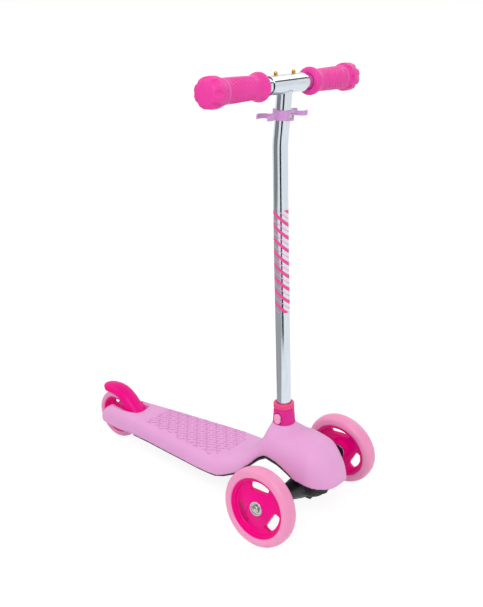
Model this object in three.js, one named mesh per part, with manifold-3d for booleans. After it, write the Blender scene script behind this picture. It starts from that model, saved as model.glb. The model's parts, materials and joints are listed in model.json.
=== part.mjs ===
// A lean-to-steer scooter for a small child: two cambered wheels in front, one wheel in the tail,
// a hollow moulded deck with a domed nose, and a T shaped handlebar on a fixed stem.
// Millimetres. +X is forward, +Y the rider's left, +Z up. The ground is at z = 0.

import * as THREE from 'three';
import { mergeVertices } from 'three/addons/utils/BufferGeometryUtils.js';
import Module from 'manifold-3d';

// Layout: x is measured from the front axle.
const wheelBase = 414;
const track = 217;
const camberDegrees = 6;
const clearance = 0.3;
const overrun = 2;

// Front wheels.
const frontWheelRadius = 60;
const frontTyreWidth = 24.5;
const frontTyreSeatRadius = 46;
const frontRimWidth = 20.4;
const frontBossLength = 20.5;
const frontWindowInnerRadius = 26;

// Rear wheel.
const rearWheelRadius = 45;
const rearTyreWidth = 24;
const rearTyreSeatRadius = 34;
const rearRimWidth = 19;
const rearBossLength = 29;
const rearWindowInnerRadius = 20;

// Hub mouldings, alike in front and behind.
const hubRimThickness = 4.6;
const hubDish = 7.5;
const hubWebThickness = 5;
const hubBossWall = 3.6;
const hubShoulderHeight = 2.2;
const windowHalfAngleDegrees = 30;
const windowRimMargin = 1.6;
const windowCornerRadius = 2.5;

// Ball bearings and the parts that run through them.
const bearingRadius = 11;
const bearingBoreRadius = 4.2;
const bearingWidth = 7;
const bearingShieldDepth = 0.5;
const axleRadius = 3.8;
const spacerRadius = 5.6;
const axleHeadRadius = 6;
const axleHeadHeight = 3.4;
const axleSocketRadius = 2.9;
const axleSocketDepth = 2;
const axleWasherRadius = 8;
const axleWasherThickness = 1.6;
const axleNutDepth = 18;
const nutRadius = 7.2;
const nutThickness = 6.4;
const nutPocketSlack = 0.5;

// Truck: the axle carrier that swivels on the inclined kingpin.
const armEndRadius = 11.5;
const truckHalfDepth = 17;
const truckHalfHeight = 19;
const truckForward = 2;
const truckSag = 2.6;
const kingpinAngleDegrees = 55;
const kingpinX = -2;
const kingpinZ = 50;
const kingpinRadius = 4;
const pivotTubeRadius = 12.5;
const pivotTubeHalfLength = 20;
const bushRadius = 6.4;
const bushFlangeRadius = 10.5;
const bushFlangeThickness = 2;
const bushLength = 13;
const kingpinHeadHeight = 5.5;
const toeX = 34;
const toeZ = 42;
const toeRadius = 12;
const toeHalfWidth = 10.5;
const rubberRadius = 8;
const rubberWaist = 1.6;
const rubberCupDepth = 2.5;

// Deck and nose moulding.
const deckHalfWidth = 58;
const deckTopZ = 69;
const deckEdgeZ = 38;
const archZ = 99;
const neckTopZ = 142.5;
const noseReach = 73.5;
const waistSetback = 105;
const tailOverhang = 22;
const shellWall = 3;
const neckRadius = 17.6;
const neckFlareHeight = 37;
const neckFlareFront = 66;
const neckFlareRear = 20;
const neckFlareSide = 23;
const wheelSlotHalfWidth = 15.5;
const slotWall = 2.6;
const brakeRoom = 17;
const ribThickness = 2.2;
const ribPitch = 42;
const ribCount = 5;
const ribOffset = 24;
const ribRise = 6;

// Black cover under the deck.
const coverThickness = 3.2;
const coverDeckLip = 2;
const coverArchLip = 5.5;
const coverTailMargin = 8;
const coverNoseMargin = 14;
const kingpinBossRadius = 13;
const kingpinBossLength = 29;
const coverWebThickness = 2.6;
const coverWebOffset = 15;
const coverWebHeight = 15;
const coverWebRear = 30;
const coverWebFront = 54;
const screwShankRadius = 1.7;
const screwHeadRadius = 3.4;
const screwHeadHeight = 2;
const screwLength = 14;
const screwBossRadius = 4.8;
const rearScrewSetback = 322;
const rearScrewOffset = 20;
const middleScrewSetback = 150;
const middleScrewOffset = 37;
const noseScrewReach = 46;
const noseScrewOffset = 26;

// Rear axle retainers, one in each cheek of the tail.
const retainerWidth = 7;
const retainerLength = 22;
const retainerHeight = 11;

// Brake.
const brakeGuardRadius = 61;
const brakeHalfWidth = 24;
const brakeWall = 3.4;
const brakeCrown = 2.6;
const brakePivotSetback = 361;
const brakePivotZ = 59;
const brakePinRadius = 2.5;
const brakeKnuckleRadius = 6.2;
const brakeEarWidth = 8;
const brakeTravelDegrees = 4.6;
const brakePadGap = 4.8;
const brakePadHalfWidth = 9;
const brakePadStartDegrees = 74;
const brakePadEndDegrees = 98;
const brakeSpringWireRadius = 0.8;
const brakeSpringTurns = 3;

// Collar and stem release.
const collarX = -35;
const collarTopZ = 176;
const collarCapHeight = 12;
const collarTopRadius = 15.6;
const collarSpigotDepth = 24;
const collarSpigotRadius = 14.4;
const collarCapRadius = 16;
const collarCapRound = 3;
const releaseButtonWidth = 11;
const releaseButtonHeight = 18;
const releaseButtonProud = 1.2;
const releaseButtonZ = 153;
const releasePlungerRadius = 3.2;
const releaseTravel = 3;
const releaseSpringRadius = 2.3;
const releaseSpringWireRadius = 0.5;
const releaseSpringTurns = 6;

// Stem and T bar.
const stemRadius = 11;
const stemWall = 1.5;
const stemBottomZ = 106;
const stemFloorThickness = 4;
const kneeX = -37;
const kneeZ = 560;
const barX = -29;
const barZ = 645;
const teeRadius = 12.7;
const teeBoreRadius = 11.5;
const teeHalfLength = 37.5;
const barTubeRadius = 11.1;
const barTubeWall = 1.3;
const barTubeStart = 6;

// Grips.
const gripStart = 52;
const gripEnd = 163;
const gripFlangeRadius = 19.2;
const gripBodyRadius = 15.4;
const gripBulbRadius = 20.7;
const gripEndWall = 6;
const gripScallops = 8;
const gripScallopDepth = 1.3;

// Snap buttons that lock the handlebar halves.
const snapButtonOffset = 20;
const snapButtonRadius = 2.6;
const snapButtonProud = 5;
const snapButtonFlangeRadius = 4;
const snapButtonFlangeThickness = 1.2;
const snapSpringThickness = 0.8;
const snapSpringWidth = 7;
const snapSpringLength = 34;

// Clip on the stem that stores the handlebar halves.
const clipZ = 605;
const clipHeight = 13;
const clipBandWall = 4;
const clipJawHeight = 7.5;
const clipJawRadius = 11.3;
const clipJawWall = 2.6;
const clipJawOffset = 41;
const clipJawOpeningDegrees = 44;
const clipLugWidth = 9;
const clipLugReach = 4;

const camber = THREE.MathUtils.degToRad(camberDegrees);
const kingpinAngle = THREE.MathUtils.degToRad(kingpinAngleDegrees);

// Tyre section: radial share of the rubber's depth, and share of its half width.
const tyreSectionShares = [
  [0, 0.86], [0.3, 1], [0.72, 0.9], [0.93, 0.56], [1, 0.16],
];

// Height of an axle over the ground for a tyre of this size leaning by the given angle.
function axleHeight(radius, seatRadius, width, lean) {
  const drops = tyreSectionShares.map(([depthShare, widthShare]) => {
    const r = seatRadius + depthShare * (radius - seatRadius);
    return r * Math.cos(lean) + widthShare * (width / 2) * Math.sin(lean);
  });
  return Math.max(...drops);
}

const frontAxleZ = axleHeight(frontWheelRadius, frontTyreSeatRadius, frontTyreWidth, camber);
const rearAxleZ = axleHeight(rearWheelRadius, rearTyreSeatRadius, rearTyreWidth, 0);
const rearAxleX = -wheelBase;
const tailX = -(wheelBase + tailOverhang);

const kernel = await Module();
kernel.setup();

// Drops collapsed triangles, shares vertices and turns the faces outward.
function closed(geometry) {
  const bare = geometry.clone();
  bare.deleteAttribute('normal');
  bare.deleteAttribute('uv');
  const merged = mergeVertices(bare);
  const points = merged.attributes.position;
  const faces = [];
  let volume = 0;
  for (let i = 0; i < merged.index.count; i += 3) {
    const [a, b, c] = [merged.index.getX(i), merged.index.getX(i + 1), merged.index.getX(i + 2)];
    if (a === b || b === c || c === a) continue;
    faces.push([a, b, c]);
    const [p, q, r] = [a, b, c].map((k) => new THREE.Vector3().fromBufferAttribute(points, k));
    volume += p.dot(q.cross(r));
  }
  const outward = volume < 0 ? faces.map(([a, b, c]) => [a, c, b]) : faces;
  merged.setIndex(outward.flat());
  return merged;
}

function toSolid(geometry) {
  const shape = closed(geometry);
  return new kernel.Manifold(new kernel.Mesh({
    numProp: 3,
    vertProperties: new Float32Array(shape.attributes.position.array),
    triVerts: new Uint32Array(shape.index.array),
  }));
}

function toGeometry(solid) {
  const mesh = solid.getMesh();
  const geometry = new THREE.BufferGeometry();
  geometry.setAttribute('position', new THREE.BufferAttribute(new Float32Array(mesh.vertProperties), 3));
  geometry.setIndex(new THREE.BufferAttribute(new Uint32Array(mesh.triVerts), 1));
  return geometry;
}

const join = (...shapes) => toGeometry(shapes.map(toSolid).reduce((all, one) => all.add(one)));
const cut = (body, ...tools) => toGeometry(tools.map(toSolid).reduce((all, one) => all.subtract(one), toSolid(body)));
const common = (a, b) => toGeometry(toSolid(a).intersect(toSolid(b)));

// Stitches rings of points, alike in count, into one solid: capped at both ends, or closed on itself.
function skin(rings, loops = false) {
  const count = rings[0].length;
  const points = rings.flat();
  const faces = [];
  const rows = loops ? rings.length : rings.length - 1;
  for (let row = 0; row < rows; row += 1) {
    const here = row * count;
    const there = ((row + 1) % rings.length) * count;
    for (let i = 0; i < count; i += 1) {
      const j = (i + 1) % count;
      faces.push(here + i, here + j, there + j, here + i, there + j, there + i);
    }
  }
  if (!loops) {
    [[0, true], [rings.length - 1, false]].forEach(([row, reversed]) => {
      const middle = rings[row].reduce((sum, p) => sum.add(p), new THREE.Vector3()).divideScalar(count);
      const hub = points.push(middle) - 1;
      for (let i = 0; i < count; i += 1) {
        const [a, b] = [row * count + i, row * count + ((i + 1) % count)];
        faces.push(hub, reversed ? b : a, reversed ? a : b);
      }
    });
  }
  const geometry = new THREE.BufferGeometry();
  geometry.setAttribute('position', new THREE.Float32BufferAttribute(points.flatMap((p) => p.toArray()), 3));
  geometry.setIndex(faces);
  return geometry;
}

// A solid turned about the Z axis from a closed outline of [radius, height] pairs.
function turned(outline, segments) {
  const points = [...outline, outline[0]].map(([r, h]) => new THREE.Vector2(r, h));
  return new THREE.LatheGeometry(points, segments).rotateX(Math.PI / 2);
}

// A cylinder along Z from one height to another.
function rod(radius, from, to, segments = 20) {
  return new THREE.CylinderGeometry(radius, radius, to - from, segments)
    .rotateX(Math.PI / 2).translate(0, 0, (from + to) / 2);
}

function tube(outerRadius, innerRadius, from, to, segments = 20) {
  return turned([[innerRadius, from], [outerRadius, from], [outerRadius, to], [innerRadius, to]], segments);
}

function block(x, y, z, atX, atY, atZ) {
  return new THREE.BoxGeometry(x, y, z).translate(atX, atY, atZ);
}

// A flat outline in X and Z, given as [x, z] pairs, made solid between two y values.
function sidePlate(outline, fromY, toY) {
  const shape = new THREE.Shape(outline.map(([x, z]) => new THREE.Vector2(x, z)));
  return new THREE.ExtrudeGeometry(shape, { depth: toY - fromY, bevelEnabled: false })
    .rotateX(Math.PI / 2).translate(0, toY, 0);
}

// A closed arc of [x, z] pairs about a centre.
function arcPoints(x, z, radius, fromDegrees, toDegrees, steps) {
  return Array.from({ length: steps + 1 }, (_, i) => {
    const angle = THREE.MathUtils.degToRad(fromDegrees + ((toDegrees - fromDegrees) * i) / steps);
    return [x + radius * Math.cos(angle), z + radius * Math.sin(angle)];
  });
}

// A round wire wound about Z, with its two ends left square.
function coil(radius, wireRadius, from, to, turns, sides = 5, stepsPerTurn = 10) {
  const steps = Math.round(turns * stepsPerTurn);
  const pitch = (to - from - 2 * wireRadius) / turns;
  const slope = Math.atan2(pitch, 2 * Math.PI * radius);
  const rings = Array.from({ length: steps + 1 }, (_, i) => {
    const angle = (i / stepsPerTurn) * 2 * Math.PI;
    const outward = new THREE.Vector3(Math.cos(angle), Math.sin(angle), 0);
    const along = new THREE.Vector3(-Math.sin(angle), Math.cos(angle), Math.tan(slope)).normalize();
    const upward = new THREE.Vector3().crossVectors(outward, along);
    const centre = outward.clone().multiplyScalar(radius);
    centre.z = from + wireRadius + (pitch * i) / stepsPerTurn;
    return Array.from({ length: sides }, (__, k) => {
      const turn = (k / sides) * 2 * Math.PI;
      return centre.clone()
        .addScaledVector(outward, wireRadius * Math.cos(turn))
        .addScaledVector(upward, wireRadius * Math.sin(turn));
    });
  });
  return skin(rings);
}

const paint = (color, roughness, metalness = 0) => ({ color, roughness, metalness });
const lilac = paint(0xe8a5da, 0.45);
const palePink = paint(0xf29ac6, 0.3);
const hotPink = paint(0xf00086, 0.3);
const gripPink = paint(0xee3ca5, 0.6);
const collarPink = paint(0xe12396, 0.35);
const buttonPink = paint(0xffaacd, 0.35);
const clipLilac = paint(0xcd9bd0, 0.4);
const black = paint(0x1c1c20, 0.55);
const rubberBlack = paint(0x151517, 0.8);
const chrome = paint(0xd5dbe2, 0.12, 1);
const steel = paint(0xb9bdc1, 0.3, 1);
const brass = paint(0xc8a046, 0.3, 1);

const scooter = new THREE.Group();

function piece(name, geometry, finish, parent = scooter) {
  const mesh = new THREE.Mesh(closed(geometry), new THREE.MeshStandardMaterial(finish));
  mesh.name = name;
  parent.add(mesh);
  return mesh;
}

// Body moulding. Each row: place along its stretch, half width, top and edge height, and squareness.
// Widths are shares of the deck's half width. Tops are shares from the deck's top to the neck's,
// edges from the deck's edge to the arch's peak.
const deckStretchShares = [
  [1, 0.483, -0.177, -0.033, 2.6], [0.982, 0.509, -0.122, -0.098, 3], [0.952, 0.534, -0.054, -0.115, 3.4],
  [0.918, 0.56, -0.007, -0.107, 3.8], [0.864, 0.586, 0, -0.115, 4], [0.725, 0.664, 0, -0.033, 4],
  [0.592, 0.759, 0, 0, 4], [0.326, 0.914, 0, 0, 4], [0.202, 0.983, 0, 0, 4], [0.136, 1, 0, 0, 4],
  [0.091, 0.991, 0.014, 0, 3.8], [0.042, 0.948, 0.041, 0.066, 3.5],
];
const noseStretchShares = [
  [0, 0.888, 0.109, 0.164, 3.2], [0.056, 0.845, 0.19, 0.246, 2.9], [0.129, 0.793, 0.327, 0.443, 2.7],
  [0.196, 0.759, 0.517, 0.623, 2.6], [0.252, 0.75, 0.667, 0.787, 2.5], [0.286, 0.741, 0.803, 0.869, 2.4],
  [0.353, 0.741, 0.857, 0.984, 2.4], [0.476, 0.759, 0.884, 0.918, 2.35], [0.56, 0.793, 0.898, 0.836, 2.35],
  [0.65, 0.798, 0.884, 0.689, 2.35], [0.711, 0.793, 0.857, 0.639, 2.35], [0.773, 0.767, 0.816, 0.607, 2.35],
  [0.824, 0.698, 0.728, 0.557, 2.3], [0.874, 0.586, 0.626, 0.525, 2.3], [0.913, 0.491, 0.531, 0.508, 2.25],
  [0.947, 0.379, 0.408, 0.516, 2.2], [0.975, 0.25, 0.299, 0.557, 2.1], [0.992, 0.129, 0.231, 0.607, 2],
  [1, 0.03, 0.18, 0.69, 2],
];

const bodyStations = [
  ...deckStretchShares.map(([share, ...rest]) => [-waistSetback + share * (tailX + waistSetback), ...rest]),
  ...noseStretchShares.map(([share, ...rest]) => [-waistSetback + share * (noseReach + waistSetback), ...rest]),
].map(([x, widthShare, topShare, edgeShare, squareness]) => ({
  x,
  halfWidth: widthShare * deckHalfWidth,
  top: deckTopZ + topShare * (neckTopZ - deckTopZ),
  edge: deckEdgeZ + edgeShare * (archZ - deckEdgeZ),
  squareness,
}));

// The body's measures at any x, in a straight line between the stations.
function bodyAt(x) {
  const next = bodyStations.findIndex((station) => station.x >= x);
  if (next <= 0) return next === 0 ? bodyStations[0] : bodyStations[bodyStations.length - 1];
  const [a, b] = [bodyStations[next - 1], bodyStations[next]];
  const share = (x - a.x) / (b.x - a.x);
  const mix = (key) => a[key] + share * (b[key] - a[key]);
  return { x, halfWidth: mix('halfWidth'), top: mix('top'), edge: mix('edge'), squareness: mix('squareness') };
}

// One cross-section of the body, from its right edge over the top to its left edge. Square
// sections are cut off level at the top, which gives the deck a flat tread.
function bodyRing({ x, halfWidth, top, edge, squareness }, inset, skirt) {
  const power = 2 / squareness;
  const steps = inset > 0 ? 10 : 14;
  const crown = 1 + 0.03 * Math.max(0, squareness - 3);
  const ring = Array.from({ length: steps + 1 }, (_, i) => {
    const angle = Math.PI * (1 - i / steps);
    const across = Math.sign(Math.cos(angle)) * Math.abs(Math.cos(angle)) ** power;
    const up = Math.min(1, crown * Math.abs(Math.sin(angle)) ** power);
    return new THREE.Vector3(x, across * (halfWidth - inset), edge + up * (top - inset - edge));
  });
  ring.push(new THREE.Vector3(x, halfWidth - inset, edge - skirt));
  ring.push(new THREE.Vector3(x, inset - halfWidth, edge - skirt));
  return ring;
}

// The body's outer skin, or the hollow inside a wall, which runs out below the edge by the skirt.
function bodySolid(inset, skirt) {
  const first = bodyStations[0].x + inset;
  const last = bodyStations[bodyStations.length - 1].x - inset;
  const inside = bodyStations.filter(({ x, halfWidth }) => x > first && x < last && halfWidth > 2 * inset + overrun);
  const ends = inset > 0 ? [bodyAt(first), ...inside] : bodyStations;
  return skin(ends.map((station) => bodyRing(station, inset, skirt)));
}

// The neck swells from the collar seat into the nose. Each row: depth share, then shares of the
// flare's reach to the rear, to the front and to the sides.
const neckFlareShares = [
  [0, 0, 0, 0], [0.09, 0.05, 0.03, 0.06], [0.2, 0.15, 0.1, 0.21], [0.31, 0.26, 0.25, 0.45],
  [0.45, 0.4, 0.44, 0.69], [0.63, 0.55, 0.66, 0.89], [0.88, 0.8, 0.8, 1], [1, 1, 0.84, 1],
];
const neckSegments = 20;
const neck = (inset) => skin(neckFlareShares.map(([depthShare, rearShare, frontShare, sideShare]) => {
  const rear = neckRadius + rearShare * neckFlareRear - inset;
  const front = neckRadius + frontShare * neckFlareFront - inset;
  const side = neckRadius + sideShare * neckFlareSide - inset;
  return Array.from({ length: neckSegments }, (_, i) => {
    const angle = (i / neckSegments) * 2 * Math.PI;
    const reach = Math.cos(angle) < 0 ? rear : front;
    return new THREE.Vector3(
      collarX + reach * Math.cos(angle),
      side * Math.sin(angle),
      neckTopZ - inset - depthShare * neckFlareHeight,
    );
  });
}));

const slotFrontX = -(brakePivotSetback - brakeRoom / 2);
const slotRearX = tailX - overrun;
const slotLength = slotFrontX - slotRearX;
const slotMiddleX = (slotFrontX + slotRearX) / 2;
const slotHeight = neckTopZ;
const brakePivotX = -brakePivotSetback;

const screwPlaces = [
  ['rear_right', -rearScrewSetback, -rearScrewOffset],
  ['rear_left', -rearScrewSetback, rearScrewOffset],
  ['middle_right', -middleScrewSetback, -middleScrewOffset],
  ['middle_left', -middleScrewSetback, middleScrewOffset],
  ['nose_right', noseScrewReach, -noseScrewOffset],
  ['nose_left', noseScrewReach, noseScrewOffset],
];

// The under cover's lower face follows the body's edge, lower still under the arch.
function coverBottomZ(x) {
  const { edge } = bodyAt(x);
  const archShare = Math.max(0, (edge - deckEdgeZ) / (archZ - deckEdgeZ));
  return edge - coverDeckLip - archShare * (coverArchLip - coverDeckLip);
}
const coverTopZ = (x) => coverBottomZ(x) + coverThickness;

// The cover's curved plate across the whole width, grown up and down by a margin.
function coverBand(fromX, toX, margin) {
  const places = bodyStations.map(({ x }) => x).filter((x) => x > fromX + overrun && x < toX - overrun);
  const run = [fromX, ...places, toX];
  return sidePlate([
    ...run.map((x) => [x, coverBottomZ(x) - margin]),
    ...[...run].reverse().map((x) => [x, coverTopZ(x) + margin]),
  ], -deckHalfWidth, deckHalfWidth);
}

function deckShell() {
  const outer = join(bodySolid(0, 0), neck(0));
  const hollow = join(bodySolid(shellWall, overrun), neck(shellWall));
  const slotLining = block(
    slotLength + slotWall, 2 * (wheelSlotHalfWidth + slotWall), slotHeight,
    slotMiddleX + slotWall / 2, 0, slotHeight / 2,
  );
  const shell = cut(outer, cut(hollow, slotLining));

  // Ribs and bosses run up into the roof and stop in the middle of its wall.
  const ribFrontX = -waistSetback;
  const ribRearX = slotFrontX + slotWall;
  const ribBottomZ = deckEdgeZ + ribRise;
  const ribHeight = neckTopZ - ribBottomZ;
  const ribMiddleZ = (neckTopZ + ribBottomZ) / 2;
  const longRib = (y) => block(
    ribFrontX - ribRearX + slotWall, ribThickness, ribHeight, (ribFrontX + ribRearX - slotWall) / 2, y, ribMiddleZ,
  );
  const crossRib = (i) => block(
    ribThickness, 2 * deckHalfWidth, ribHeight, ribFrontX - (i + 0.5) * ribPitch, 0, ribMiddleZ,
  );
  const bosses = screwPlaces.map(([, x, y]) => rod(
    screwBossRadius, coverBottomZ(x), neckTopZ, 12,
  ).translate(x, y, 0));
  const socket = rod(neckRadius - clearance, stemBottomZ - stemFloorThickness, neckTopZ - overrun, 24)
    .translate(collarX, 0, 0);
  const ribs = [longRib(-ribOffset), longRib(ribOffset)];
  for (let i = 0; i < ribCount; i += 1) ribs.push(crossRib(i));
  const coverRoom = coverBand(slotFrontX, noseReach, clearance);
  const inner = cut(common(join(...ribs, ...bosses), bodySolid(shellWall / 2, overrun)), coverRoom);

  const cuts = [
    block(slotLength, 2 * wheelSlotHalfWidth, slotHeight, slotMiddleX, 0, slotHeight / 2),
    rod(collarSpigotRadius + clearance, neckTopZ - collarSpigotDepth - clearance, neckTopZ + overrun, 24)
      .translate(collarX, 0, 0),
    rod(stemRadius + clearance, stemBottomZ - clearance, neckTopZ, 24).translate(collarX, 0, 0),
    rod(stemRadius - stemWall, 0, stemBottomZ, 20).translate(collarX, 0, 0),
    ...screwPlaces.map(([, x, y]) => rod(
      screwShankRadius + clearance, 0, coverBottomZ(x) + screwLength + clearance, 10,
    ).translate(x, y, 0)),
    // The brake's pin and the rear axle drop into the slot's walls.
    rod(brakePinRadius + clearance, -wheelSlotHalfWidth - slotWall - overrun,
      wheelSlotHalfWidth + slotWall + overrun, 16).rotateX(Math.PI / 2).translate(brakePivotX, 0, brakePivotZ),
    axleNotch(),
  ];
  return cut(join(shell, inner, socket), ...cuts);
}

// The rear axle's saddle: round at the top and open downward.
function axleNotch() {
  const radius = axleRadius + clearance;
  const reach = wheelSlotHalfWidth + slotWall + overrun;
  const outline = [
    [rearAxleX - radius, 0], [rearAxleX + radius, 0],
    ...arcPoints(rearAxleX, rearAxleZ, radius, 0, 180, 10),
  ];
  return sidePlate(outline, -reach, reach);
}

piece('deck_shell', deckShell(), lilac);

// Kingpin frame: local Z runs up and forward along the kingpin.
const kingpinTilt = Math.PI / 2 - kingpinAngle;
const alongKingpin = (geometry) => geometry.rotateY(kingpinTilt).translate(kingpinX, 0, kingpinZ);
const bushFaceHeight = pivotTubeHalfLength + clearance + bushFlangeThickness;
const kingpinBossStart = bushFaceHeight + clearance;
const kingpinBossEnd = kingpinBossStart + kingpinBossLength;
const kingpinNutEnd = kingpinBossEnd - clearance;

function underCover() {
  const fromX = slotFrontX + coverTailMargin;
  const toX = noseReach - coverNoseMargin;
  const band = coverBand(fromX, toX, 0);
  const room = bodySolid(shellWall + clearance, coverArchLip + overrun);
  const boss = alongKingpin(rod(kingpinBossRadius, kingpinBossStart, kingpinBossEnd, 24));
  const between = bodyStations.map(({ x }) => x).filter((x) => x > -coverWebRear && x < coverWebFront);
  const webRun = [-coverWebRear, ...between, coverWebFront];
  const web = (y) => sidePlate([
    ...webRun.map((x) => [x, coverBottomZ(x) + coverThickness / 2]),
    ...[...webRun].reverse().map((x) => [x, coverTopZ(x) + coverWebHeight]),
  ], y - coverWebThickness / 2, y + coverWebThickness / 2);
  const socketRoom = rod(
    neckRadius + clearance, stemBottomZ - stemFloorThickness - clearance, neckTopZ, 24,
  ).translate(collarX, 0, 0);
  const plate = cut(common(join(band, web(-coverWebOffset), web(coverWebOffset)), room), socketRoom);
  const cuts = [
    alongKingpin(rod(kingpinRadius + clearance, 0, kingpinBossEnd + overrun, 20)),
    alongKingpin(rod(nutRadius + clearance, kingpinNutEnd - nutThickness - clearance, kingpinBossEnd + overrun, 6)),
    ...screwPlaces.map(([, x, y]) => rod(screwShankRadius + clearance, 0, neckTopZ, 10).translate(x, y, 0)),
    ...screwPlaces.map(([, x, y]) => rod(
      screwHeadRadius + clearance, 0, coverBottomZ(x) + screwHeadHeight / 2, 12,
    ).translate(x, y, 0)),
    rod(rubberRadius + clearance, 0, coverBottomZ(toeX) + rubberCupDepth / 2, 16).translate(toeX, 0, 0),
  ];
  return cut(join(plate, boss), ...cuts);
}

piece('under_cover', underCover(), black);

screwPlaces.forEach(([place, x, y]) => {
  const headTop = screwHeadHeight / 2 - clearance;
  const screw = join(
    rod(screwHeadRadius, headTop - screwHeadHeight, headTop, 12),
    rod(screwShankRadius, headTop - screwHeadHeight / 2, screwLength, 10),
  );
  const mesh = piece(`cover_screw_${place}`, cut(
    screw, block(screwHeadRadius, screwHeadHeight / 3, screwHeadHeight, 0, 0, headTop - screwHeadHeight),
  ), steel);
  mesh.position.set(x, y, coverBottomZ(x));
});

// Arm sections, from the middle to the wheel: place, then shares that blend from the middle's
// size to the end's, and of the sag below the axle line.
const armShares = [
  [0, 0, 1], [0.16, 0.12, 1], [0.34, 0.62, 1], [0.62, 0.9, 0.5], [0.86, 1, 0], [1, 1, 0],
];
const wheelInnerFace = frontBossLength / 2 + clearance + axleWasherThickness + clearance;
const armLength = track / 2 - wheelInnerFace * Math.cos(camber);
const armPower = 2 / 2.5;
const armSegments = 16;

function truckArm(side) {
  const rings = armShares.map(([share, endShare, sagShare]) => {
    const y = share * armLength;
    const z = frontAxleZ - (track / 2 - y) * Math.tan(camber) - sagShare * truckSag;
    const depth = truckHalfDepth + endShare * (armEndRadius - truckHalfDepth);
    const height = truckHalfHeight + endShare * (armEndRadius - truckHalfHeight);
    const power = 1 + (armPower - 1) * (1 - endShare);
    const lean = share * Math.tan(camber);
    return Array.from({ length: armSegments }, (_, i) => {
      const angle = (i / armSegments) * 2 * Math.PI;
      const forward = Math.sign(Math.cos(angle)) * Math.abs(Math.cos(angle)) ** power;
      const up = Math.sign(Math.sin(angle)) * Math.abs(Math.sin(angle)) ** power;
      return new THREE.Vector3(
        (1 - endShare) * truckForward + forward * depth, side * (y - up * height * lean), z + up * height,
      );
    });
  });
  return skin(rings);
}

// Wheel frame: local Z runs outward along the leaning axle, X stays forward.
function wheelFrame(side) {
  const frame = new THREE.Group();
  frame.position.set(0, side * (track / 2), frontAxleZ);
  frame.rotation.x = -side * (Math.PI / 2 - camber);
  frame.updateMatrix();
  scooter.add(frame);
  return frame;
}
const rightFrame = wheelFrame(-1);
const leftFrame = wheelFrame(1);

const nutInnerEnd = -(wheelInnerFace + axleNutDepth);
const boltEnd = nutInnerEnd - overrun;

function truck() {
  const neckBlock = alongKingpin(rod(pivotTubeRadius, -pivotTubeHalfLength, pivotTubeHalfLength, 24));
  const toe = sidePlate(arcPoints(toeX, toeZ, toeRadius, 0, 337.5, 15), -toeHalfWidth, toeHalfWidth);
  const toeRoot = sidePlate([
    [kingpinX, toeZ - toeRadius], [toeX, toeZ - toeRadius], [toeX, toeZ + toeRadius * 0.7],
    [kingpinX, toeZ + toeRadius],
  ], -toeHalfWidth, toeHalfWidth);
  const cuts = [
    alongKingpin(rod(bushRadius + clearance, -pivotTubeHalfLength - overrun, pivotTubeHalfLength + overrun, 20)),
    alongKingpin(rod(
      kingpinBossRadius + clearance, pivotTubeHalfLength, pivotTubeHalfLength + 3 * toeRadius, 24,
    )),
    alongKingpin(rod(
      bushFlangeRadius + clearance, -pivotTubeHalfLength - 3 * toeRadius, -pivotTubeHalfLength, 24,
    )),
    rod(rubberRadius + clearance, toeZ + toeRadius - rubberCupDepth, neckTopZ, 16).translate(toeX, 0, 0),
  ];
  [rightFrame, leftFrame].forEach((frame) => {
    const pocketSize = 2 * (nutRadius * Math.cos(Math.PI / 6) + clearance);
    const bore = rod(axleRadius + clearance, boltEnd - overrun, 0, 16);
    const pocket = block(
      2 * armEndRadius, pocketSize, nutThickness + nutPocketSlack,
      nutRadius + clearance - armEndRadius, 0, nutInnerEnd + nutThickness / 2,
    );
    cuts.push(bore.applyMatrix4(frame.matrix), pocket.applyMatrix4(frame.matrix));
  });
  return cut(join(truckArm(-1), truckArm(1), neckBlock, toe, toeRoot), ...cuts);
}

piece('truck', truck(), black);

const kingpinFrame = new THREE.Group();
kingpinFrame.position.set(kingpinX, 0, kingpinZ);
kingpinFrame.rotation.y = kingpinTilt;
scooter.add(kingpinFrame);

const bush = () => turned([
  [kingpinRadius + clearance, pivotTubeHalfLength - bushLength], [bushRadius, pivotTubeHalfLength - bushLength],
  [bushRadius, pivotTubeHalfLength + clearance], [bushFlangeRadius, pivotTubeHalfLength + clearance],
  [bushFlangeRadius, bushFaceHeight], [kingpinRadius + clearance, bushFaceHeight],
], 20);
piece('kingpin_bush_upper', bush(), rubberBlack, kingpinFrame);
piece('kingpin_bush_lower', bush().rotateX(Math.PI), rubberBlack, kingpinFrame);
const kingpinHeadTop = -bushFaceHeight - clearance;
piece('kingpin_bolt', join(
  rod(nutRadius, kingpinHeadTop - kingpinHeadHeight, kingpinHeadTop, 6),
  rod(kingpinRadius, kingpinHeadTop - kingpinHeadHeight / 2, kingpinNutEnd, 20),
), steel, kingpinFrame);
piece('kingpin_nut', cut(
  rod(nutRadius, kingpinNutEnd - nutThickness, kingpinNutEnd, 6),
  rod(kingpinRadius + clearance, 0, kingpinBossEnd + overrun, 20),
), steel, kingpinFrame);

// The centring rubber stands in a cup on the truck's toe and bears on the cover above.
const rubberBottom = toeZ + toeRadius - rubberCupDepth + clearance;
const rubberTop = coverBottomZ(toeX) + rubberCupDepth / 2 - clearance;
const rubberMiddle = (rubberBottom + rubberTop) / 2;
piece('centring_rubber', turned([
  [0, rubberBottom], [rubberRadius, rubberBottom], [rubberRadius - rubberWaist, rubberMiddle],
  [rubberRadius, rubberTop], [0, rubberTop],
], 16).translate(toeX, 0, 0), rubberBlack);

function tyre(radius, seatRadius, width, segments) {
  const half = (sign) => tyreSectionShares.map(([depthShare, widthShare]) => [
    seatRadius + depthShare * (radius - seatRadius), sign * widthShare * (width / 2),
  ]);
  return turned([...half(-1), ...half(1).reverse()], segments);
}

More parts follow.
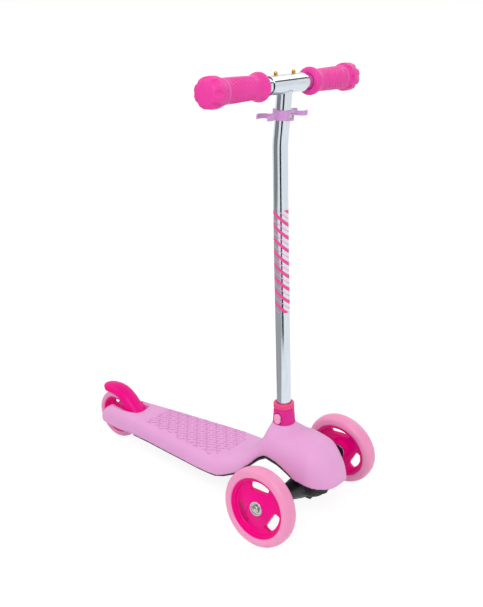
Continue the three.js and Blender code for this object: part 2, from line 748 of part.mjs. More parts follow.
// One window of the hub: a piece of a ring with rounded corners.
function windowCutter(innerRadius, outerRadius, angle, depth) {
  const half = THREE.MathUtils.degToRad(windowHalfAngleDegrees);
  const corner = windowCornerRadius;
  const outerTurn = corner / outerRadius;
  const innerTurn = corner / innerRadius;
  const at = (radius, turn) => new THREE.Vector2(radius * Math.cos(angle + turn), radius * Math.sin(angle + turn));
  const outer = (i) => at(outerRadius, -half + outerTurn + (2 * (half - outerTurn) * i) / 6);
  const inner = (i) => at(innerRadius, half - innerTurn - (2 * (half - innerTurn) * i) / 4);
  const points = [];
  for (let i = 0; i <= 6; i += 1) points.push(outer(i));
  points.push(at(outerRadius - corner, half), at(innerRadius + corner, half));
  for (let i = 0; i <= 4; i += 1) points.push(inner(i));
  points.push(at(innerRadius + corner, -half), at(outerRadius - corner, -half));
  return new THREE.ExtrudeGeometry(new THREE.Shape(points), { depth: 2 * depth, bevelEnabled: false })
    .translate(0, 0, -depth);
}

// A dished hub with three windows, a boss for two bearings and a shoulder between them.
function hub(size, firstWindowDegrees) {
  const { seatRadius, rimWidth, bossLength, windowInnerRadius, segments } = size;
  const rimOuter = seatRadius - clearance;
  const rimInner = rimOuter - hubRimThickness;
  const rimHalf = rimWidth / 2;
  const bossHalf = bossLength / 2;
  const boreRadius = bearingRadius + clearance;
  const bossRadius = boreRadius + hubBossWall;
  const bearingDepth = bossHalf - bearingWidth - clearance;
  const faceAtRim = rimHalf - hubDish;
  const backAtRim = faceAtRim - hubWebThickness;
  const faceAtBoss = bossHalf - hubBossWall;
  const backAtBoss = faceAtBoss - hubWebThickness;
  const outline = [
    [rimOuter, -rimHalf], [rimOuter, rimHalf], [rimInner + clearance, rimHalf], [rimInner - clearance, faceAtRim],
    [bossRadius + overrun, faceAtBoss], [bossRadius, bossHalf], [boreRadius, bossHalf], [boreRadius, bearingDepth],
    [boreRadius - hubShoulderHeight, bearingDepth], [boreRadius - hubShoulderHeight, -bearingDepth],
    [boreRadius, -bearingDepth], [boreRadius, -bossHalf], [bossRadius, -bossHalf], [bossRadius, backAtBoss],
    [rimInner - clearance, backAtRim], [rimInner + clearance, -rimHalf],
  ];
  const windows = [0, 1, 2].map((i) => windowCutter(
    windowInnerRadius, rimInner - windowRimMargin,
    THREE.MathUtils.degToRad(firstWindowDegrees + i * 120), rimWidth,
  ));
  return cut(turned(outline, segments), ...windows);
}

const frontHub = {
  seatRadius: frontTyreSeatRadius, rimWidth: frontRimWidth, bossLength: frontBossLength,
  windowInnerRadius: frontWindowInnerRadius, segments: 30,
};
const rearHub = {
  seatRadius: rearTyreSeatRadius, rimWidth: rearRimWidth, bossLength: rearBossLength,
  windowInnerRadius: rearWindowInnerRadius, segments: 28,
};

// A sealed ball bearing: the shield lies a little below the faces of the two races.
function bearing(from) {
  const race = (bearingRadius - bearingBoreRadius) / 4;
  const to = from + bearingWidth;
  return turned([
    [bearingBoreRadius, from], [bearingRadius, from], [bearingRadius, to], [bearingRadius - race, to],
    [bearingRadius - race, to - bearingShieldDepth], [bearingBoreRadius + race, to - bearingShieldDepth],
    [bearingBoreRadius + race, to], [bearingBoreRadius, to],
  ], 15);
}

function bearingSet(prefix, bossLength, frame) {
  const seat = bossLength / 2 - bearingWidth;
  piece(`${prefix}_bearing_outer`, bearing(seat), steel, frame);
  piece(`${prefix}_bearing_inner`, bearing(seat).rotateX(Math.PI), steel, frame);
  piece(`${prefix}_bearing_spacer`, tube(
    spacerRadius, bearingBoreRadius, -seat + clearance, seat - clearance, 16,
  ), steel, frame);
}

function frontWheel(side, frame) {
  const name = side > 0 ? 'front_wheel_left' : 'front_wheel_right';
  piece(`${name}_tyre`, tyre(frontWheelRadius, frontTyreSeatRadius, frontTyreWidth, 30), palePink, frame);
  piece(`${name}_hub`, hub(frontHub, -side * 90), hotPink, frame);
  bearingSet(name, frontBossLength, frame);
  const headSeat = frontBossLength / 2 + clearance;
  const head = turned([
    [0, headSeat], [axleHeadRadius, headSeat], [axleHeadRadius, headSeat + axleHeadHeight / 3],
    [axleHeadRadius * 0.8, headSeat + axleHeadHeight * 0.8], [axleHeadRadius * 0.5, headSeat + axleHeadHeight],
    [0, headSeat + axleHeadHeight],
  ], 16);
  const socketFloor = headSeat + axleHeadHeight - axleSocketDepth;
  piece(`${name}_axle_bolt`, cut(
    join(head, rod(axleRadius, boltEnd, headSeat + axleHeadHeight / 3, 16)),
    rod(axleSocketRadius, socketFloor, headSeat + axleHeadHeight + overrun, 6),
  ), steel, frame);
  const washerFace = -frontBossLength / 2 - clearance;
  piece(`${name}_axle_washer`, tube(
    axleWasherRadius, bearingBoreRadius, washerFace - axleWasherThickness, washerFace, 16,
  ), steel, frame);
  piece(`${name}_axle_nut`, cut(
    rod(nutRadius, nutInnerEnd, nutInnerEnd + nutThickness, 6).rotateZ(Math.PI / 6),
    rod(axleRadius + clearance, boltEnd, 0, 16),
  ), steel, frame);
}

frontWheel(-1, rightFrame);
frontWheel(1, leftFrame);

// Rear wheel: local Z points to the rider's right.
const rearFrame = new THREE.Group();
rearFrame.position.set(rearAxleX, 0, rearAxleZ);
rearFrame.rotation.x = Math.PI / 2;
scooter.add(rearFrame);
piece('rear_wheel_tyre', tyre(rearWheelRadius, rearTyreSeatRadius, rearTyreWidth, 28), palePink, rearFrame);
piece('rear_wheel_hub', hub(rearHub, 90), hotPink, rearFrame);
bearingSet('rear_wheel', rearBossLength, rearFrame);
const rearAxleReach = wheelSlotHalfWidth + slotWall + clearance + retainerWidth;
piece('rear_axle', rod(axleRadius, -rearAxleReach, rearAxleReach, 20), steel, rearFrame);

// Each retainer closes a notch from below and holds the axle in a half round saddle.
function retainer(side) {
  const inner = wheelSlotHalfWidth + slotWall + clearance;
  const middleY = side * (inner + retainerWidth / 2);
  const top = rearAxleZ;
  const body = block(retainerLength, retainerWidth, retainerHeight, rearAxleX, middleY, top - retainerHeight / 2);
  const saddle = rod(axleRadius + clearance, -rearAxleReach - overrun, rearAxleReach + overrun, 20)
    .rotateX(Math.PI / 2).translate(rearAxleX, 0, rearAxleZ);
  return common(cut(body, saddle), bodySolid(shellWall + clearance, 0));
}
piece('rear_axle_retainer_right', retainer(-1), black);
piece('rear_axle_retainer_left', retainer(1), black);

// Brake guard, an arch over the rear wheel. Each row: angle in degrees about the rear axle, then
// shares of the guard's radius, of its half width, and of its radius at the skirt's lower edge.
const brakeShares = [
  [20, 1.165, 1, 0.66], [25, 1.08, 0.99, 0.68], [32, 1.022, 0.965, 0.7], [42, 1, 0.935, 0.74],
  [54, 0.995, 0.905, 0.775], [66, 0.99, 0.88, 0.785], [78, 0.985, 0.86, 0.79], [90, 0.975, 0.84, 0.795],
  [99, 0.975, 0.815, 0.82], [106, 1, 0.77, 0.89], [112, 1.045, 0.66, 0.98],
];

function brakeSection([degrees, radiusShare, widthShare, skirtShare]) {
  const angle = THREE.MathUtils.degToRad(degrees);
  const top = radiusShare * brakeGuardRadius;
  const half = widthShare * brakeHalfWidth;
  const skirt = skirtShare * brakeGuardRadius;
  const inner = top - brakeWall;
  const innerHalf = half - brakeWall;
  const outerSide = [
    [half, skirt], [half, top - 2.6 * brakeCrown], [half * 0.95, top - 1.5 * brakeCrown],
    [half * 0.78, top - 0.7 * brakeCrown], [half * 0.4, top - 0.15 * brakeCrown],
  ];
  const innerSide = [
    [half * 0.4, inner - 0.15 * brakeCrown], [innerHalf * 0.9, inner - 0.8 * brakeCrown],
    [innerHalf, Math.max(inner - 2 * brakeCrown, skirt + overrun / 2)], [innerHalf, skirt],
  ];
  const flipped = (side) => [...side].reverse().map(([y, r]) => [-y, r]);
  const ring = [
    ...outerSide, [0, top], ...flipped(outerSide), ...flipped(innerSide), [0, inner], ...innerSide,
  ];
  return ring.map(([y, r]) => new THREE.Vector3(
    rearAxleX + r * Math.cos(angle), y, rearAxleZ + r * Math.sin(angle),
  ));
}

function rearBrake() {
  const guard = skin(brakeShares.map(brakeSection));
  const travel = THREE.MathUtils.degToRad(brakeTravelDegrees);
  const seatZ = deckTopZ + clearance;
  const reach = brakeHalfWidth + overrun;
  const below = sidePlate([
    [0, 0], [0, seatZ], [brakePivotX, seatZ], [rearAxleX, seatZ + (brakePivotX - rearAxleX) * Math.tan(travel)],
    [rearAxleX, 0],
  ], -reach, reach);
  const trimmed = cut(guard, below);
  const underGuard = brakeShares.slice(1, 4).map(([degrees, radiusShare]) => {
    const angle = THREE.MathUtils.degToRad(degrees);
    const radius = radiusShare * brakeGuardRadius - brakeWall / 2;
    return [rearAxleX + radius * Math.cos(angle), rearAxleZ + radius * Math.sin(angle)];
  });
  const earOutline = [
    ...arcPoints(brakePivotX, brakePivotZ, brakeKnuckleRadius, 180, 360, 10), ...underGuard,
  ];
  const earOuter = wheelSlotHalfWidth - 2 * clearance;
  const ears = [-1, 1].map((side) => {
    const [near, far] = [side * (earOuter - brakeEarWidth), side * earOuter];
    return sidePlate(earOutline, Math.min(near, far), Math.max(near, far));
  });
  const bore = rod(brakePinRadius + clearance, -wheelSlotHalfWidth, wheelSlotHalfWidth, 16)
    .rotateX(Math.PI / 2).translate(brakePivotX, 0, brakePivotZ);
  return cut(join(trimmed, ...ears), bore);
}
piece('rear_brake', rearBrake(), hotPink);

const brakePinReach = wheelSlotHalfWidth + slotWall + overrun;
piece('brake_pin', rod(brakePinRadius, -brakePinReach, brakePinReach, 16)
  .rotateX(Math.PI / 2).translate(brakePivotX, 0, brakePivotZ), steel);

function brakePad() {
  const steps = 4;
  const low = rearWheelRadius + brakePadGap;
  const lowestShare = Math.min(...brakeShares.map(([, radiusShare]) => radiusShare));
  const high = lowestShare * brakeGuardRadius - brakeWall - 0.2 * brakeCrown - clearance;
  const ring = (radius, from, to) => arcPoints(rearAxleX, rearAxleZ, radius, from, to, steps);
  return sidePlate([
    ...ring(low, brakePadStartDegrees, brakePadEndDegrees),
    ...ring(high, brakePadEndDegrees, brakePadStartDegrees),
  ], -brakePadHalfWidth, brakePadHalfWidth);
}
piece('brake_pad', brakePad(), rubberBlack);

const brakeSpringHalf = wheelSlotHalfWidth - 2 * clearance - brakeEarWidth - clearance;
piece('brake_spring', coil(
  brakePinRadius + clearance + brakeSpringWireRadius, brakeSpringWireRadius, -brakeSpringHalf, brakeSpringHalf,
  brakeSpringTurns, 5, 8,
).rotateX(Math.PI / 2).translate(brakePivotX, 0, brakePivotZ), steel);

// Collar: a sleeve that stands in the neck, with the release button in its right side.
const collarBodyTop = collarTopZ - collarCapHeight;
const collarBore = stemRadius + clearance;
const stemSpine = [
  new THREE.Vector3(collarX, 0, stemBottomZ),
  new THREE.Vector3(collarX, 0, collarTopZ),
  new THREE.Vector3((2 * collarX + kneeX) / 3, 0, (2 * collarTopZ + kneeZ) / 3),
  new THREE.Vector3(kneeX, 0, (collarTopZ + 3 * kneeZ) / 4),
  new THREE.Vector3(kneeX, 0, kneeZ),
  new THREE.Vector3((2 * kneeX + barX) / 3, 0, (2 * kneeZ + barZ) / 3),
  new THREE.Vector3(barX, 0, barZ),
];
const releaseBore = (radius, from, to) => rod(radius, from, to, 16).rotateX(Math.PI / 2)
  .translate(collarX, 0, releaseButtonZ);

// A plate with round ends, standing in X and Z, between two distances to the rider's right.
function stadium(width, height, from, to) {
  const radius = width / 2;
  const rise = height / 2 - radius;
  const outline = [
    ...arcPoints(collarX, releaseButtonZ + rise, radius, 0, 180, 8),
    ...arcPoints(collarX, releaseButtonZ - rise, radius, 180, 360, 8),
  ];
  return sidePlate(outline, -to, -from);
}

const buttonSeat = stemRadius + releaseTravel + 2 * clearance;
const buttonFace = neckRadius + releaseButtonProud;
function collarBody() {
  const sleeve = turned([
    [collarBore, neckTopZ - collarSpigotDepth], [collarSpigotRadius, neckTopZ - collarSpigotDepth],
    [collarSpigotRadius, neckTopZ + clearance], [neckRadius - clearance, neckTopZ + clearance],
    [collarTopRadius, collarBodyTop], [collarBore, collarBodyTop],
  ], 24).translate(collarX, 0, 0);
  const recess = stadium(
    releaseButtonWidth + 2 * clearance, releaseButtonHeight + 2 * clearance, 0, neckRadius + overrun,
  );
  return cut(sleeve, recess);
}
piece('collar_body', collarBody(), collarPink);

piece('collar_cap', turned([
  [collarBore, collarBodyTop + clearance], [collarCapRadius, collarBodyTop + clearance],
  [collarCapRadius, collarTopZ - collarCapRound], [collarCapRadius - collarCapRound / 3, collarTopZ - collarCapRound / 3],
  [collarCapRadius - collarCapRound, collarTopZ], [collarBore, collarTopZ],
], 24).translate(collarX, 0, 0), collarPink);

const plungerEnd = stemRadius - stemWall - overrun;
piece('release_button', join(
  stadium(releaseButtonWidth, releaseButtonHeight, buttonSeat, buttonFace),
  releaseBore(releasePlungerRadius, plungerEnd, buttonSeat + overrun / 2),
), buttonPink);

piece('release_spring', coil(
  releaseSpringRadius, releaseSpringWireRadius, -(stemRadius - stemWall - 2 * clearance), plungerEnd - clearance,
  releaseSpringTurns, 5, 8,
).rotateX(Math.PI / 2).translate(collarX, 0, releaseButtonZ), steel);

// Stem: a round tube that runs straight up and bends a little forward near the top.
function stem() {
  const segments = 24;
  const ring = (radius) => stemSpine.map((centre) => Array.from({ length: segments }, (_, i) => {
    const angle = (i / segments) * 2 * Math.PI;
    return new THREE.Vector3(centre.x + radius * Math.cos(angle), radius * Math.sin(angle), centre.z);
  }));
  const wall = skin([...ring(stemRadius), ...ring(stemRadius - stemWall).reverse()], true);
  const cope = rod(teeRadius + clearance, -teeHalfLength, teeHalfLength, 24).rotateX(Math.PI / 2)
    .translate(barX, 0, barZ);
  const above = block(4 * teeRadius, 4 * teeRadius, 2 * teeRadius, barX, 0, barZ + teeRadius);
  return cut(
    wall, cope, above, releaseBore(releasePlungerRadius + clearance, 0, stemRadius + overrun), clipScrewBore(),
  );
}

// The clip leans with the stem. Its screw goes through the band and the front wall of the stem.
function onClip(geometry) {
  const next = stemSpine.findIndex((point) => point.z >= clipZ);
  const [a, b] = [stemSpine[next - 1], stemSpine[next]];
  const slope = (b.x - a.x) / (b.z - a.z);
  return geometry.rotateY(Math.atan(slope)).translate(a.x + (clipZ - a.z) * slope, 0, clipZ);
}
const clipBandInner = stemRadius + clearance;
const clipScrewSeat = clipBandInner + clipBandWall + clipLugReach + clearance;
const clipScrewBore = () => onClip(
  rod(screwShankRadius + clearance, 0, clipScrewSeat + overrun, 10).rotateY(Math.PI / 2),
);

piece('stem_tube', stem(), chrome);

// Heights for a rod turned across the bar, so that it lies between two distances on one side.
const sideSpan = (side, near, far) => (side > 0 ? [-far, -near] : [near, far]);
const acrossBar = (geometry) => geometry.rotateX(Math.PI / 2).translate(barX, 0, barZ);
const snapHole = (side) => rod(snapButtonRadius + clearance, 0, 2 * teeRadius, 16)
  .translate(barX, side * snapButtonOffset, barZ);
piece('t_crossbar', cut(
  acrossBar(tube(teeRadius, teeBoreRadius, -teeHalfLength, teeHalfLength, 24)), snapHole(-1), snapHole(1),
), chrome);

// Grip outline: place along the grip and radius, both as shares, with the scallops' share.
const gripShares = [
  [0, 0.35, 0], [0.018, 0.8, 0], [0.055, 1, 0], [0.095, 0.8, 0], [0.13, 0.22, 0], [0.19, 0, 0],
  [0.45, 0.06, 0], [0.7, 0.1, 0],
];
const gripBulbShares = [
  [0.76, 0.2, 0], [0.81, 0.72, 0.35], [0.87, 1, 0.8], [0.93, 0.98, 1], [0.975, 0.8, 1], [1, 0.45, 0.6],
];

function grip(side) {
  const length = gripEnd - gripStart;
  const segments = 3 * gripScallops;
  const outer = [
    ...gripShares.map(([place, share, scallop]) => [
      place, gripBodyRadius + share * (gripFlangeRadius - gripBodyRadius), scallop,
    ]),
    ...gripBulbShares.map(([place, share, scallop]) => [
      place, gripBodyRadius + share * (gripBulbRadius - gripBodyRadius), scallop,
    ]),
  ];
  const ring = (y, radius, scallop) => Array.from({ length: segments }, (_, i) => {
    const angle = (i / segments) * 2 * Math.PI;
    const notch = Math.max(0, Math.cos(gripScallops * angle)) * scallop * gripScallopDepth;
    return new THREE.Vector3(
      barX + (radius - notch) * Math.cos(angle), side * y, barZ + (radius - notch) * Math.sin(angle),
    );
  });
  const body = skin(outer.map(([place, radius, scallop]) => ring(gripStart + place * length, radius, scallop)));
  return cut(body, acrossBar(rod(barTubeRadius + clearance, ...sideSpan(side, 0, gripEnd - gripEndWall), 24)));
}

// The button's flange bears on the tube's round wall from inside.
const tubeBore = barTubeRadius - barTubeWall;
const snapFlangeTop = Math.sqrt(tubeBore ** 2 - snapButtonFlangeRadius ** 2) - clearance;

// A bent leaf inside the tube pushes the button up.
function snapSpring(side) {
  const top = barZ + snapFlangeTop - snapButtonFlangeThickness - clearance;
  const bottom = barZ - tubeBore + 3 * clearance;
  const near = side * (snapButtonOffset - snapButtonRadius);
  const far = side * (snapButtonOffset + snapSpringLength);
  const bend = far - side * 4 * snapSpringThickness;
  const middle = (top + bottom) / 2;
  const shape = new THREE.Shape([
    [near, top], [far, middle], [near, bottom],
    [near, bottom + snapSpringThickness], [bend, middle], [near, top - snapSpringThickness],
  ].map(([y, z]) => new THREE.Vector2(y, z)));
  return new THREE.ExtrudeGeometry(shape, { depth: snapSpringWidth, bevelEnabled: false })
    .rotateX(Math.PI / 2).rotateZ(Math.PI / 2).translate(barX - snapSpringWidth / 2, 0, 0);
}

function snapButton(side) {
  const tip = teeRadius + snapButtonProud;
  const flangeBottom = snapFlangeTop - snapButtonFlangeThickness;
  return turned([
    [0, flangeBottom], [snapButtonFlangeRadius, flangeBottom],
    [snapButtonFlangeRadius, snapFlangeTop], [snapButtonRadius, snapFlangeTop],
    [snapButtonRadius, tip - snapButtonRadius / 2], [snapButtonRadius * 0.7, tip - snapButtonRadius / 6],
    [0, tip],
  ], 16).translate(barX, side * snapButtonOffset, barZ);
}

[['right', -1], ['left', 1]].forEach(([name, side]) => {
  const reach = sideSpan(side, barTubeStart, gripEnd - gripEndWall - clearance);
  const handle = acrossBar(tube(barTubeRadius, barTubeRadius - barTubeWall, ...reach, 24));
  piece(`handlebar_tube_${name}`, cut(handle, snapHole(side)), chrome);
  piece(`grip_${name}`, grip(side), gripPink);
  piece(`snap_button_${name}`, snapButton(side), brass);
  piece(`snap_spring_${name}`, snapSpring(side), steel);
});

// Storage clip: a band round the stem with an open jaw on either side.
function clipJaw(side) {
  const outer = clipJawRadius + clipJawWall;
  const half = THREE.MathUtils.degToRad(clipJawOpeningDegrees);
  const far = 2 * outer;
  const mouth = new THREE.ExtrudeGeometry(new THREE.Shape([
    new THREE.Vector2(0, 0), new THREE.Vector2(far * Math.sin(half), side * far * Math.cos(half)),
    new THREE.Vector2(-far * Math.sin(half), side * far * Math.cos(half)),
  ]), { depth: 2 * clipJawHeight, bevelEnabled: false }).translate(0, 0, -clipJawHeight);
  return cut(tube(outer, clipJawRadius, -clipJawHeight / 2, clipJawHeight / 2, 24), mouth)
    .translate(0, side * clipJawOffset, 0);
}

function storageClip() {
  const outer = clipBandInner + clipBandWall;
  const band = rod(outer, -clipHeight / 2, clipHeight / 2, 24);
  const lugLength = clipLugReach + clipBandWall;
  const lug = block(lugLength, clipLugWidth, clipHeight, outer + clipLugReach - lugLength / 2, 0, 0);
  const reach = clipJawOffset - clipJawRadius - clipJawWall / 2;
  const arm = block(2 * clipJawWall, 2 * reach, clipJawHeight, 0, 0, 0);
  const stemRoom = rod(clipBandInner, -clipHeight, clipHeight, 24);
  return cut(onClip(cut(join(band, lug, arm, clipJaw(-1), clipJaw(1)), stemRoom)), clipScrewBore());
}
piece('storage_clip', storageClip(), clipLilac);

piece('clip_screw', onClip(join(
  rod(screwHeadRadius, clipScrewSeat, clipScrewSeat + screwHeadHeight, 12),
  rod(screwShankRadius, stemRadius - stemWall - overrun, clipScrewSeat + screwHeadHeight / 2, 10),
).rotateY(Math.PI / 2)), steel);

// The origin lies on the ground under the middle of the whole scooter.
scooter.position.x = (wheelBase + rearWheelRadius - noseReach) / 2;
scooter.updateMatrixWorld(true);

export default scooter;
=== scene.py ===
import bpy
import bmesh
import json
import math
from mathutils import Matrix, Vector

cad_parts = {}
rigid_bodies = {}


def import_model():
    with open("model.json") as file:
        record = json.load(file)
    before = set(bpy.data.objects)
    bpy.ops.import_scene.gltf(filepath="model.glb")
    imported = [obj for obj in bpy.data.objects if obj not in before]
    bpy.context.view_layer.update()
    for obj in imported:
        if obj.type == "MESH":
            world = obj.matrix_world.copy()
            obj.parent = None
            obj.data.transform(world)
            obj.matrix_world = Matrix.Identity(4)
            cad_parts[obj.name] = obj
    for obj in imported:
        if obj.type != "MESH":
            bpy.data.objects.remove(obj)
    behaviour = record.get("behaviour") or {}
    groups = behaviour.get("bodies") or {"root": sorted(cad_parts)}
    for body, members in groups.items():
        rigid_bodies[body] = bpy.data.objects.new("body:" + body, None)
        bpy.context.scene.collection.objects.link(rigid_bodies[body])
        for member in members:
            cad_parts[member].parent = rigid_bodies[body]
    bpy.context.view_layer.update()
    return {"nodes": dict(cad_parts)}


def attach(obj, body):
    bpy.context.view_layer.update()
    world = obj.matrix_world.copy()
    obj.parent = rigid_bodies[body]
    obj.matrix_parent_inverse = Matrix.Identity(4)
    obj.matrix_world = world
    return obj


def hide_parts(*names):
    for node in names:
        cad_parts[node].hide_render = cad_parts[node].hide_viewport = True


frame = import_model()
nodes = frame["nodes"]
print("frame loaded:", len(nodes), "nodes")


# Small helpers. Sizes in the dictionaries are millimetres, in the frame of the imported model. Vertices
# closer than the merge distance, in metres, become one.
mergeDistance = 0.000004


def clearSelection():
    if bpy.context.object and bpy.context.object.mode != "OBJECT":
        bpy.ops.object.mode_set(mode="OBJECT")
    bpy.ops.object.select_all(action="DESELECT")


def mm(*values):
    return Vector([value / 1000 for value in values])


# The values that a dictionary of sizes keeps under the given words.
def pick(sizes, words):
    return [sizes[word] for word in words.split()]


def shift(x, y, z):
    return Matrix.Translation(mm(x, y, z))


def turned(degrees, axis):
    return Matrix.Rotation(math.radians(degrees), 4, axis)


def linkObject(name, data):
    piece = bpy.data.objects.new(name, data)
    bpy.context.scene.collection.objects.link(piece)
    return piece


def activate(piece):
    clearSelection()
    piece.select_set(True)
    bpy.context.view_layer.objects.active = piece


def named(name):
    piece = bpy.context.object
    piece.name = piece.data.name = name
    return piece


def addModifier(piece, kind, **settings):
    activate(piece)
    modifier = piece.modifiers.new(kind.lower(), kind)
    for key, value in settings.items():
        setattr(modifier, key, value)
    bpy.ops.object.modifier_apply(modifier=modifier.name)


def seatPiece(piece, seat):
    activate(piece)
    piece.matrix_world = seat
    bpy.ops.object.transform_apply(location=True, rotation=True, scale=True)
    return piece


def copyPiece(piece, name):
    activate(piece)
    bpy.ops.object.duplicate(linked=False)
    return named(name)


# Opens the piece for editing, with its vertices merged where they meet.
def mergeVertices(piece):
    activate(piece)
    bpy.ops.object.mode_set(mode="EDIT")
    bpy.ops.mesh.select_all(action="SELECT")
    bpy.ops.mesh.remove_doubles(threshold=mergeDistance)


def tidyNormals(piece):
    mergeVertices(piece)
    bpy.ops.mesh.normals_make_consistent(inside=False)
    if bmesh.from_edit_mesh(piece.data).calc_volume(signed=True) < 0:
        bpy.ops.mesh.flip_normals()
    bpy.ops.object.mode_set(mode="OBJECT")
    return piece


def smoothPiece(piece, degrees):
    activate(piece)
    bpy.ops.object.shade_smooth_by_angle(angle=math.radians(degrees))
    return piece


# One vertex is pushed along the outline, point by point, and the loop is closed.
def drawOutline(name, points):
    clearSelection()
    bpy.ops.mesh.primitive_plane_add(size=0.001)
    piece = named(name)
    bpy.ops.object.mode_set(mode="EDIT")
    bpy.ops.mesh.select_all(action="SELECT")
    bpy.ops.mesh.merge(type="CENTER")
    bpy.ops.transform.translate(value=points[0])
    for here, there in zip(points, points[1:]):
        bpy.ops.mesh.extrude_vertices_move(TRANSFORM_OT_translate={"value": there - here})
    bpy.ops.mesh.select_all(action="DESELECT")
    mesh = bmesh.from_edit_mesh(piece.data)
    for vertex in mesh.verts:
        vertex.select_set(len(vertex.link_edges) == 1)
    mesh.select_flush_mode()
    bmesh.update_edit_mesh(piece.data)
    bpy.ops.mesh.edge_face_add()
    return piece


# A round piece: the outline of (radius, height) pairs is spun about Z.
def turnPiece(name, outline, steps):
    piece = drawOutline(name, [mm(radius, 0, height) for radius, height in outline])
    bpy.ops.mesh.select_all(action="SELECT")
    bpy.ops.mesh.spin(steps=steps, angle=2 * math.pi, center=(0, 0, 0), axis=(0, 0, 1))
    bpy.ops.object.mode_set(mode="OBJECT")
    return tidyNormals(piece)


# A flat outline in X and Y made solid between two heights.
def platePiece(name, outline, bottom, top):
    piece = drawOutline(name, [mm(x, y, bottom) for x, y in outline])
    bpy.ops.mesh.select_all(action="SELECT")
    bpy.ops.mesh.edge_face_add()
    bpy.ops.mesh.extrude_region_move(TRANSFORM_OT_translate={"value": mm(0, 0, top - bottom)})
    bpy.ops.object.mode_set(mode="OBJECT")
    return tidyNormals(piece)


def rodPiece(name, radius, bottom, top, sides=64):
    clearSelection()
    bpy.ops.mesh.primitive_cylinder_add(vertices=sides, radius=radius / 1000, depth=(top - bottom) / 1000,
                                        location=mm(0, 0, (bottom + top) / 2))
    piece = named(name)
    bpy.ops.object.transform_apply(location=True, rotation=True, scale=True)
    return piece


def blockPiece(name, low, high):
    clearSelection()
    bpy.ops.mesh.primitive_cube_add(size=1, location=(mm(*low) + mm(*high)) / 2, scale=mm(*high) - mm(*low))
    piece = named(name)
    bpy.ops.object.transform_apply(location=True, rotation=True, scale=True)
    return piece


def arc(centreX, centreY, radius, start, end, steps):
    angles = [math.radians(start + (end - start) * step / steps) for step in range(steps + 1)]
    return [(centreX + radius * math.cos(angle), centreY + radius * math.sin(angle)) for angle in angles]


def combine(piece, others, operation="DIFFERENCE"):
    for other in others:
        addModifier(piece, "BOOLEAN", operation=operation, solver="EXACT", object=other)
        bpy.data.objects.remove(other)
    return piece


def roundEdges(piece, width, segments, degrees):
    tidyNormals(piece)
    addModifier(piece, "BEVEL", width=width / 1000, segments=segments, limit_method="ANGLE",
                angle_limit=math.radians(degrees), harden_normals=False)
    return piece


# The outline of a low dome, from its rim to its tip on the axis.
def dome(radius, rim, rise):
    turns = [math.radians(angle) for angle in range(0, 90, 15)]
    return [(radius * math.cos(turn), rim + rise * math.sin(turn)) for turn in turns] + [(0, rim + rise)]


# A round bead along each run of points.
def beadPiece(name, runs, radius, resolution, closed):
    line = bpy.data.curves.new(name, "CURVE")
    line.dimensions = "3D"
    line.bevel_depth = radius / 1000
    line.bevel_resolution = resolution
    line.use_fill_caps = not closed
    for run in runs:
        spline = line.splines.new("POLY")
        spline.points.add(len(run) - 1)
        spline.use_cyclic_u = closed
        for point, place in zip(spline.points, run):
            point.co = (*mm(*place), 1)
    activate(linkObject(name, line))
    bpy.ops.object.convert(target="MESH")
    return named(name)


# A merged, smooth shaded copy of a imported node, which then stands for it.
def smoothNode(name, degrees):
    piece = copyPiece(nodes[name], name + "_skin")
    piece.parent = None
    for key in list(piece.keys()):
        if key.startswith("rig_"):
            del piece[key]
    mergeVertices(piece)
    bpy.ops.object.mode_set(mode="OBJECT")
    return smoothPiece(piece, degrees)


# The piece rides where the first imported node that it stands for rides. One that stands for none rides
# on the chassis.
def finishPiece(piece, finish, slot, *replaced):
    piece.data.materials.clear()
    piece.data.materials.append(finishes[finish])
    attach(piece, nodes[replaced[0]].parent.name.split(":")[1] if replaced else "chassis")
    if replaced:
        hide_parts(*replaced)


# Finishes

def tint(red, green, blue):
    def linear(value):
        share = value / 255
        return share / 12.92 if share <= 0.04045 else ((share + 0.055) / 1.055) ** 2.4
    return (linear(red), linear(green), linear(blue), 1)


# Sets a node's inputs to plain values, or has other nodes' sockets feed them.
def feed(tree, node, inputs):
    for name, value in inputs.items():
        if isinstance(value, bpy.types.NodeSocket):
            tree.links.new(value, node.inputs[name])
        else:
            node.inputs[name].default_value = value


def addShader(tree, kind, inputs):
    node = tree.nodes.new("ShaderNode" + kind)
    feed(tree, node, inputs)
    return node


def startFinish(name):
    material = bpy.data.materials.new(name)
    material.use_nodes = True
    tree = material.node_tree
    return material, tree, tree.nodes["Principled BSDF"]


# Two close tones and an uneven gloss, both drawn from one noise pattern.
def addTones(tree, shader, light, deep, gloss, pattern, firstStop):
    tones = addShader(tree, "ValToRGB", {"Fac": pattern})
    first, last = tones.color_ramp.elements
    first.position, last.position = firstStop, 1 - firstStop
    first.color, last.color = tint(*deep), tint(*light)
    sheen = addShader(tree, "MapRange", {"To Min": gloss[0], "To Max": gloss[1], "Value": pattern})
    feed(tree, shader, {"Base Color": tones.outputs["Color"], "Roughness": sheen.outputs["Result"]})


# Moulded plastic and rubber: two close tones in clouds, a fine grain and an uneven gloss.
def mouldedFinish(name, light, deep, cloudScale, gloss, grain, more):
    material, tree, shader = startFinish(name)
    feed(tree, shader, more)
    place = addShader(tree, "TexCoord", {}).outputs["Object"]
    clouds = addShader(tree, "TexNoise", {"Scale": cloudScale, "Detail": 3, "Vector": place})
    addTones(tree, shader, light, deep, gloss, clouds.outputs["Fac"], 0.3)
    scale, strength, depth = grain
    height = addShader(tree, "TexNoise", {"Scale": scale, "Detail": 2, "Vector": place}).outputs["Fac"]
    bump = addShader(tree, "Bump", {"Strength": strength, "Distance": depth / 1000, "Height": height})
    feed(tree, shader, {"Normal": bump.outputs["Normal"]})
    return material


